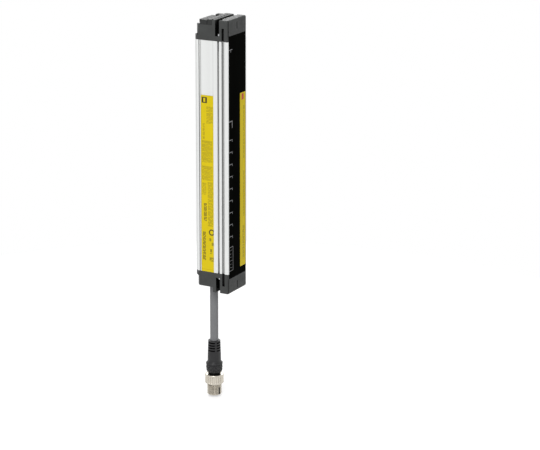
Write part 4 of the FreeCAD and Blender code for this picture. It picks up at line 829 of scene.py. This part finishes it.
class CURTAIN_OT_window_marks(bpy.types.Operator):
    """Print plain marks on the window: a corner, a row of ticks and a hatched field"""

    bl_idname = "curtain.window_marks"
    bl_label = "Window marks"

    tick_top = 15.6 * MM
    tick_pitch = 10.0 * MM
    tick_count = 9
    tick_tail = 1.8 * MM
    tick_left = -13.6 * MM
    tick_right = -7.8 * MM
    tick_gap = 0.25 * MM
    line = 0.5 * MM
    bold = 0.8 * MM
    corner_height = 31.2 * MM
    corner_left = -14.2 * MM
    corner_arm = 6.0 * MM
    field_top = -73.2 * MM
    field_low = -93.4 * MM
    field_left = -14.0 * MM
    field_right = -7.0 * MM
    field_line = 0.4 * MM
    hatch_count = 6
    hatch_line = 0.22 * MM
    hatch_left = 1.1 * MM
    hatch_right = 1.3 * MM
    hatch_lengths = 3
    hatch_step = 0.8 * MM
    upper_mark = 88.5 * MM

    def bar(self, shape, left, right, low, high):
        """A flat bar on the window's face."""
        face = WINDOW[0].y
        slab(shape, (left, face - sizes().mark_thickness, low), (right, face, high))

    def execute(self, context):
        shape = bmesh.new()
        line = self.line
        right = self.tick_right
        high = self.corner_height
        self.bar(shape, self.corner_left, right - self.bold, high - self.bold, high)
        self.bar(shape, right - self.bold, right, high - self.corner_arm, high)
        for number in range(self.tick_count):
            height = self.tick_top - number * self.tick_pitch
            upper = height + line / 2
            self.bar(shape, self.tick_left, right - line - self.tick_gap, height - line / 2, upper)
            self.bar(shape, right - line, right, height - self.tick_tail, upper)
        self.bar(shape, self.field_left, self.field_right, self.field_top - self.field_line, self.field_top)
        self.bar(shape, self.field_left, self.field_right, self.field_low, self.field_low + self.field_line)
        for edge in (self.field_left, self.field_right - self.field_line):
            self.bar(shape, edge, edge + self.field_line, self.field_low + self.field_line,
                     self.field_top - self.field_line)
        spacing = (self.field_top - self.field_low) / (self.hatch_count + 1)
        for number in range(1, self.hatch_count + 1):
            height = self.field_low + number * spacing
            end = self.field_right - self.hatch_right - (number % self.hatch_lengths) * self.hatch_step
            self.bar(shape, self.field_left + self.hatch_left, end, height - self.hatch_line / 2,
                     height + self.hatch_line / 2)
        self.bar(shape, self.tick_left, right, self.upper_mark, self.upper_mark + line)
        middle = (self.tick_left + right) / 2
        self.bar(shape, middle, middle + line, self.upper_mark - self.tick_tail, self.upper_mark)
        ink = printed_ink("window_print", colours().mark)
        new_piece("window_marks", shape, ink, "root")
        return {"FINISHED"}


class CURTAIN_OT_label_print(bpy.types.Operator):
    """Print plain broken rows, a badge, a ring and a patch on the yellow films"""

    bl_idname = "curtain.label_print"
    bl_label = "Label print"

    seed = 7
    row_pitch = 0.95 * MM
    fine_line = 0.26 * MM
    bold_line = 0.5 * MM
    dash = (1.2 * MM, 4.2 * MM)
    gap = 0.7 * MM
    badge = 4.8 * MM
    badge_line = 1.5 * MM
    ring_place = (9.4 * MM, -62.0 * MM)
    ring_reach = 2.6 * MM
    ring_line = 0.9 * MM
    ring_steps = 32
    # Blocks of rows: first row from the film's edge, number of rows, top, low end. Lengths in millimetres.
    fine_blocks = (
        (5.4, 6, 42.0, 28.0),
        (1.8, 2, 28.0, 15.0),
        (1.2, 10, 14.0, -4.0),
        (1.2, 10, -7.0, -19.0),
        (1.2, 4, -21.0, -31.0),
        (6.2, 5, -20.0, -57.0),
    )
    bold_blocks = (
        (2.4, 3, -38.0, -53.0),
        (1.4, 3, -62.0, -86.0),
        (7.4, 2, -67.0, -69.5),
        (9.6, 2, -70.5, -73.0),
        (8.2, 2, -76.0, -80.0),
        (7.6, 4, -83.0, -86.5),
    )
    window_blocks = ((5.6, 2, 40.0, -4.0), (5.6, 2, -14.0, -52.0), (4.4, 3, -60.0, -88.0))
    patch_inset = 2.5 * MM
    patch_drop = 0.9 * MM
    patch_width = 3.4 * MM
    patch_height = 5.0 * MM

    def rows(self, draws, first, count, top, low):
        """Broken rows along the bar, as places across and spans along it, in metres."""
        for number in range(count):
            place = first * MM + number * self.row_pitch
            start = top * MM
            while start > low * MM:
                end = max(low * MM, start - draws.uniform(*self.dash))
                yield place, end, start
                start = end - self.gap

    def ring(self, shape, near, face, across, height):
        """A flat ring on the side film, round a place across and along the bar."""
        corners = []
        for step in range(self.ring_steps):
            angle = tau * step / self.ring_steps
            corners.append([
                shape.verts.new((x, across + reach * cos(angle), height + reach * sin(angle)))
                for x in (near, face) for reach in (self.ring_reach, self.ring_reach - self.ring_line)])
        for one, other in zip(corners, corners[1:] + corners[:1]):
            for first, second in ((0, 1), (1, 3), (3, 2), (2, 0)):
                shape.faces.new((one[first], other[first], other[second], one[second]))

    def side_marks(self, draws, shape):
        """Rows, a square badge and a ring on the side film."""
        face = SIDE_LABEL[0].x
        near = face - sizes().mark_thickness
        rear = SIDE_LABEL[1].y
        for blocks, width in ((self.fine_blocks, self.fine_line), (self.bold_blocks, self.bold_line)):
            for block in blocks:
                for place, low, top in self.rows(draws, *block):
                    slab(shape, (near, rear - place - width, low), (face, rear - place, top))
        line = self.badge_line
        high = SIDE_LABEL[1].z - line
        low = high - self.badge
        right = rear - line / 2
        left = right - self.badge
        for first, last, bottom, top in (
                (left, right, high - line / 2, high),
                (left, right, low, low + line / 2),
                (left, left + line, low + line / 2, high - line / 2),
                (right - line, right, low + line / 2, high - line / 2)):
            slab(shape, (near, first, bottom), (face, last, top))
        self.ring(shape, near, face, rear - self.ring_place[0], self.ring_place[1])

    def execute(self, context):
        draws = Random(self.seed)
        ink = printed_ink("label_print", colours().ink)
        shape = bmesh.new()
        self.side_marks(draws, shape)
        new_piece("side_label_print", shape, ink, "root")
        shape = bmesh.new()
        face = WINDOW_LABEL[0].y
        near = face - sizes().mark_thickness
        for block in self.window_blocks:
            for place, low, top in self.rows(draws, *block):
                left = WINDOW_LABEL[0].x + place
                slab(shape, (left, near, low), (left + self.fine_line, face, top))
        new_piece("window_label_print", shape, ink, "root")
        shape = bmesh.new()
        left = WINDOW_LABEL[0].x + self.patch_inset
        high = WINDOW_LABEL[1].z - self.patch_drop
        slab(shape, (left, near, high - self.patch_height), (left + self.patch_width, face, high))
        patch = printed_ink("patch_print", colours().patch)
        new_piece("window_label_patch", shape, patch, "root")
        return {"FINISHED"}


# Finishes of the CAD nodes


class CURTAIN_OT_housing_finish(bpy.types.Operator):
    """Finish the profile, window, seals, caps, blanking plug and films"""

    bl_idname = "curtain.housing_finish"
    bl_label = "Housing finish"

    def execute(self, context):
        dress(anodised_aluminium(), "housing_extrusion")
        dress(smoked_window(), "front_window")
        dress(rubber("seal_rubber", (0.018, 0.018, 0.018)), "window_seal", "top_cap_gasket",
              "bottom_cap_gasket", "plug_seal", "cable_bush")
        dress(moulded_grey("cap_plastic", colours().cap), "top_cap", "bottom_cap")
        dress(moulded_grey("plug_plastic", [part * 0.6 for part in colours().cap]), "blanking_plug")
        dress(plated_steel("blackened_steel", (0.10, 0.10, 0.105), 0.42), "plug_screws")
        dress(label_film(), "side_label", "window_label")
        return {"FINISHED"}


class CURTAIN_OT_inner_finish(bpy.types.Operator):
    """Finish the optics, the circuit board and what stands on it"""

    bl_idname = "curtain.inner_finish"
    bl_label = "Optics and electronics finish"

    def execute(self, context):
        dress(moulding("black_moulding", (0.015, 0.015, 0.016), 0.55), "optics_frame")
        dress(clear_plastic("clear_lens", (0.92, 0.94, 0.95)), "lens_strip", "indicator_light_pipes")
        dress(moulding("emitter_resin", (0.06, 0.03, 0.10), 0.2, 1 * MM, 0.004 * MM), "infrared_emitters")
        dress(moulding("lamp_resin", (0.55, 0.60, 0.50), 0.25, 1 * MM, 0.004 * MM), "status_lamps")
        dress(circuit_board(), "emitter_board")
        dress(plated_steel("board_steel", (0.50, 0.51, 0.52)), "board_screws")
        dress(moulding("chip_black", (0.014, 0.014, 0.015), 0.6), "control_chips")
        dress(plated_steel("capacitor_can", (0.62, 0.62, 0.63), 0.3), "power_capacitors")
        dress(moulding("header_nylon", (0.58, 0.55, 0.46), 0.45), "cable_header")
        dress(moulding("lead_sheath", (0.22, 0.10, 0.04), 0.4), "inner_leads")
        dress(plated_steel("clamp_steel", (0.45, 0.45, 0.46)), "cable_clamp")
        dress(moulding("carrier_plastic", (0.03, 0.03, 0.032), 0.5), "contact_carrier")
        dress(plated_steel("contact_gold", (0.80, 0.56, 0.20), 0.22), "contact_pins")
        return {"FINISHED"}


# Studio

CAMERA_PLACE = Vector((-1.52045, -0.87303, 0.43934))
CAMERA_TURN = radians(-61.259)
CAMERA_RISE = radians(15.948)
CAMERA_LENS = 148.8
CAMERA_SHIFT = 0.0439
BAR_MIDDLE = Vector((0, -15.5 * MM, -0.04))


class CURTAIN_OT_studio(bpy.types.Operator):
    """Set up the floor, the soft lights and the photograph's camera"""

    bl_idname = "curtain.studio"
    bl_label = "Studio"

    floor_reach = 0.45
    floor_sides = 96
    floor_gap = 1.5 * MM
    floor_glow = 0.52
    sky = 0.42
    lights = (
        ("key_light", (-1.3, -0.35, 0.85), 1.0, 17.0),
        ("fill_light", (0.5, -1.4, 0.3), 1.2, 1.5),
        ("top_light", (0.1, 0.1, 1.5), 1.0, 5.0),
        ("rim_light", (1.1, 0.6, 0.75), 0.8, 7.0),
    )

    def seen_white(self, tree, seen, other):
        """A mix of two shaders or backgrounds: the first one for camera, glossy and transmitted rays."""
        rays = tree.nodes.new("ShaderNodeLightPath")
        both = tree.nodes.new("ShaderNodeMath")
        both.operation = "MAXIMUM"
        every = tree.nodes.new("ShaderNodeMath")
        every.operation = "MAXIMUM"
        tree.links.new(rays.outputs["Is Camera Ray"], both.inputs[0])
        tree.links.new(rays.outputs["Is Glossy Ray"], both.inputs[1])
        tree.links.new(both.outputs["Value"], every.inputs[0])
        tree.links.new(rays.outputs["Is Transmission Ray"], every.inputs[1])
        mix = tree.nodes.new("ShaderNodeMixShader")
        tree.links.new(every.outputs["Value"], mix.inputs["Fac"])
        tree.links.new(other, mix.inputs[1])
        tree.links.new(seen, mix.inputs[2])
        return mix.outputs["Shader"]

    def floor(self, context):
        """A pale floor just under the connector. It looks white but for the object's shadow."""
        height = CAD_BOX[0][2] - self.floor_gap
        shape = bmesh.new()
        bmesh.ops.create_circle(shape, cap_ends=True, segments=self.floor_sides, radius=self.floor_reach)
        mesh = bpy.data.meshes.new("studio_floor")
        shape.to_mesh(mesh)
        shape.free()
        made = bpy.data.objects.new("studio_floor", mesh)
        made.location.z = height
        context.scene.collection.objects.link(made)
        material = bpy.data.materials.new("studio_floor")
        material.use_nodes = True
        tree = material.node_tree
        paint = tree.nodes["Principled BSDF"]
        paint.inputs["Base Color"].default_value = (*colours().floor, 1)
        paint.inputs["Roughness"].default_value = 0.9
        paint.inputs["Specular IOR Level"].default_value = 0.0
        glow = tree.nodes.new("ShaderNodeEmission")
        glow.inputs["Strength"].default_value = self.floor_glow
        lit = tree.nodes.new("ShaderNodeAddShader")
        tree.links.new(paint.outputs["BSDF"], lit.inputs[0])
        tree.links.new(glow.outputs["Emission"], lit.inputs[1])
        tree.links.new(self.seen_white(tree, lit.outputs["Shader"], paint.outputs["BSDF"]),
                       tree.nodes["Material Output"].inputs["Surface"])
        mesh.materials.append(material)

    def world(self, context):
        """A white surround, dimmer as a light than it looks."""
        world = bpy.data.worlds.new("studio_surround")
        world.use_nodes = True
        context.scene.world = world
        tree = world.node_tree
        dim = tree.nodes["Background"]
        dim.inputs["Color"].default_value = (1, 1, 1, 1)
        dim.inputs["Strength"].default_value = self.sky
        white = tree.nodes.new("ShaderNodeBackground")
        white.inputs["Color"].default_value = (1, 1, 1, 1)
        white.inputs["Strength"].default_value = 1.0
        surface = self.seen_white(tree, white.outputs["Background"], dim.outputs["Background"])
        tree.links.new(surface, tree.nodes["World Output"].inputs["Surface"])

    def lamp(self, context, name, place, size, power):
        """A square soft light that looks at the middle of the bar."""
        data = bpy.data.lights.new(name, "AREA")
        data.shape = "SQUARE"
        data.size = size
        data.energy = power
        made = bpy.data.objects.new(name, data)
        made.location = place
        made.rotation_euler = (Vector(place) - BAR_MIDDLE).to_track_quat("Z", "Y").to_euler()
        context.scene.collection.objects.link(made)

    def camera(self, context):
        """The photograph's viewpoint."""
        data = bpy.data.cameras.new("photo_camera")
        data.lens = CAMERA_LENS
        data.shift_x = CAMERA_SHIFT
        data.clip_start = 0.01
        data.clip_end = 50
        made = bpy.data.objects.new("photo_camera", data)
        back = Vector((sin(CAMERA_TURN) * cos(CAMERA_RISE), -cos(CAMERA_TURN) * cos(CAMERA_RISE),
                       sin(CAMERA_RISE)))
        made.location = CAMERA_PLACE
        made.rotation_euler = back.to_track_quat("Z", "Y").to_euler()
        context.scene.collection.objects.link(made)
        context.scene.camera = made

    def execute(self, context):
        context.scene.view_settings.view_transform = "Standard"
        self.floor(context)
        self.world(context)
        for light in self.lights:
            self.lamp(context, *light)
        self.camera(context)
        return {"FINISHED"}


class CURTAIN_OT_cord(bpy.types.Operator):
    bl_idname = "curtain.cord"
    bl_label = "Declare the cable"

    def execute(self, context):
        return {"FINISHED"}


STEPS = (
    CURTAIN_OT_studio,
    CURTAIN_OT_cable,
    CURTAIN_OT_housing_finish,
    CURTAIN_OT_inner_finish,
    CURTAIN_OT_coupling_nut,
    CURTAIN_OT_connector,
    CURTAIN_OT_cap_screws,
    CURTAIN_OT_window_marks,
    CURTAIN_OT_label_print,
    CURTAIN_OT_cord,
)


class CURTAIN_PT_panel(bpy.types.Panel):
    """The light curtain's sizes, colours and steps"""

    bl_idname = "CURTAIN_PT_panel"
    bl_label = "Light curtain"
    bl_space_type = "VIEW_3D"
    bl_region_type = "UI"
    bl_category = "Light curtain"

    def draw(self, context):
        for group in (context.scene.curtain_sizes, context.scene.curtain_colours):
            for name in group.__annotations__:
                self.layout.prop(group, name)
        for step in STEPS:
            self.layout.operator(step.bl_idname)


CLASSES = (CurtainSizes, CurtainColours, *STEPS, CURTAIN_PT_panel)


def register():
    """Register the classes and give each scene its sizes and colours."""
    for item in CLASSES:
        bpy.utils.register_class(item)
    bpy.types.Scene.curtain_sizes = PointerProperty(type=CurtainSizes)
    bpy.types.Scene.curtain_colours = PointerProperty(type=CurtainColours)


def unregister():
    """Take the classes and the scenes' settings away again."""
    del bpy.types.Scene.curtain_colours
    del bpy.types.Scene.curtain_sizes
    for item in reversed(CLASSES):
        bpy.utils.unregister_class(item)


def main():
    register()
    for step in STEPS:
        group, name = step.bl_idname.split(".")
        getattr(getattr(bpy.ops, group), name)()


if __name__ == "__main__":
    main()
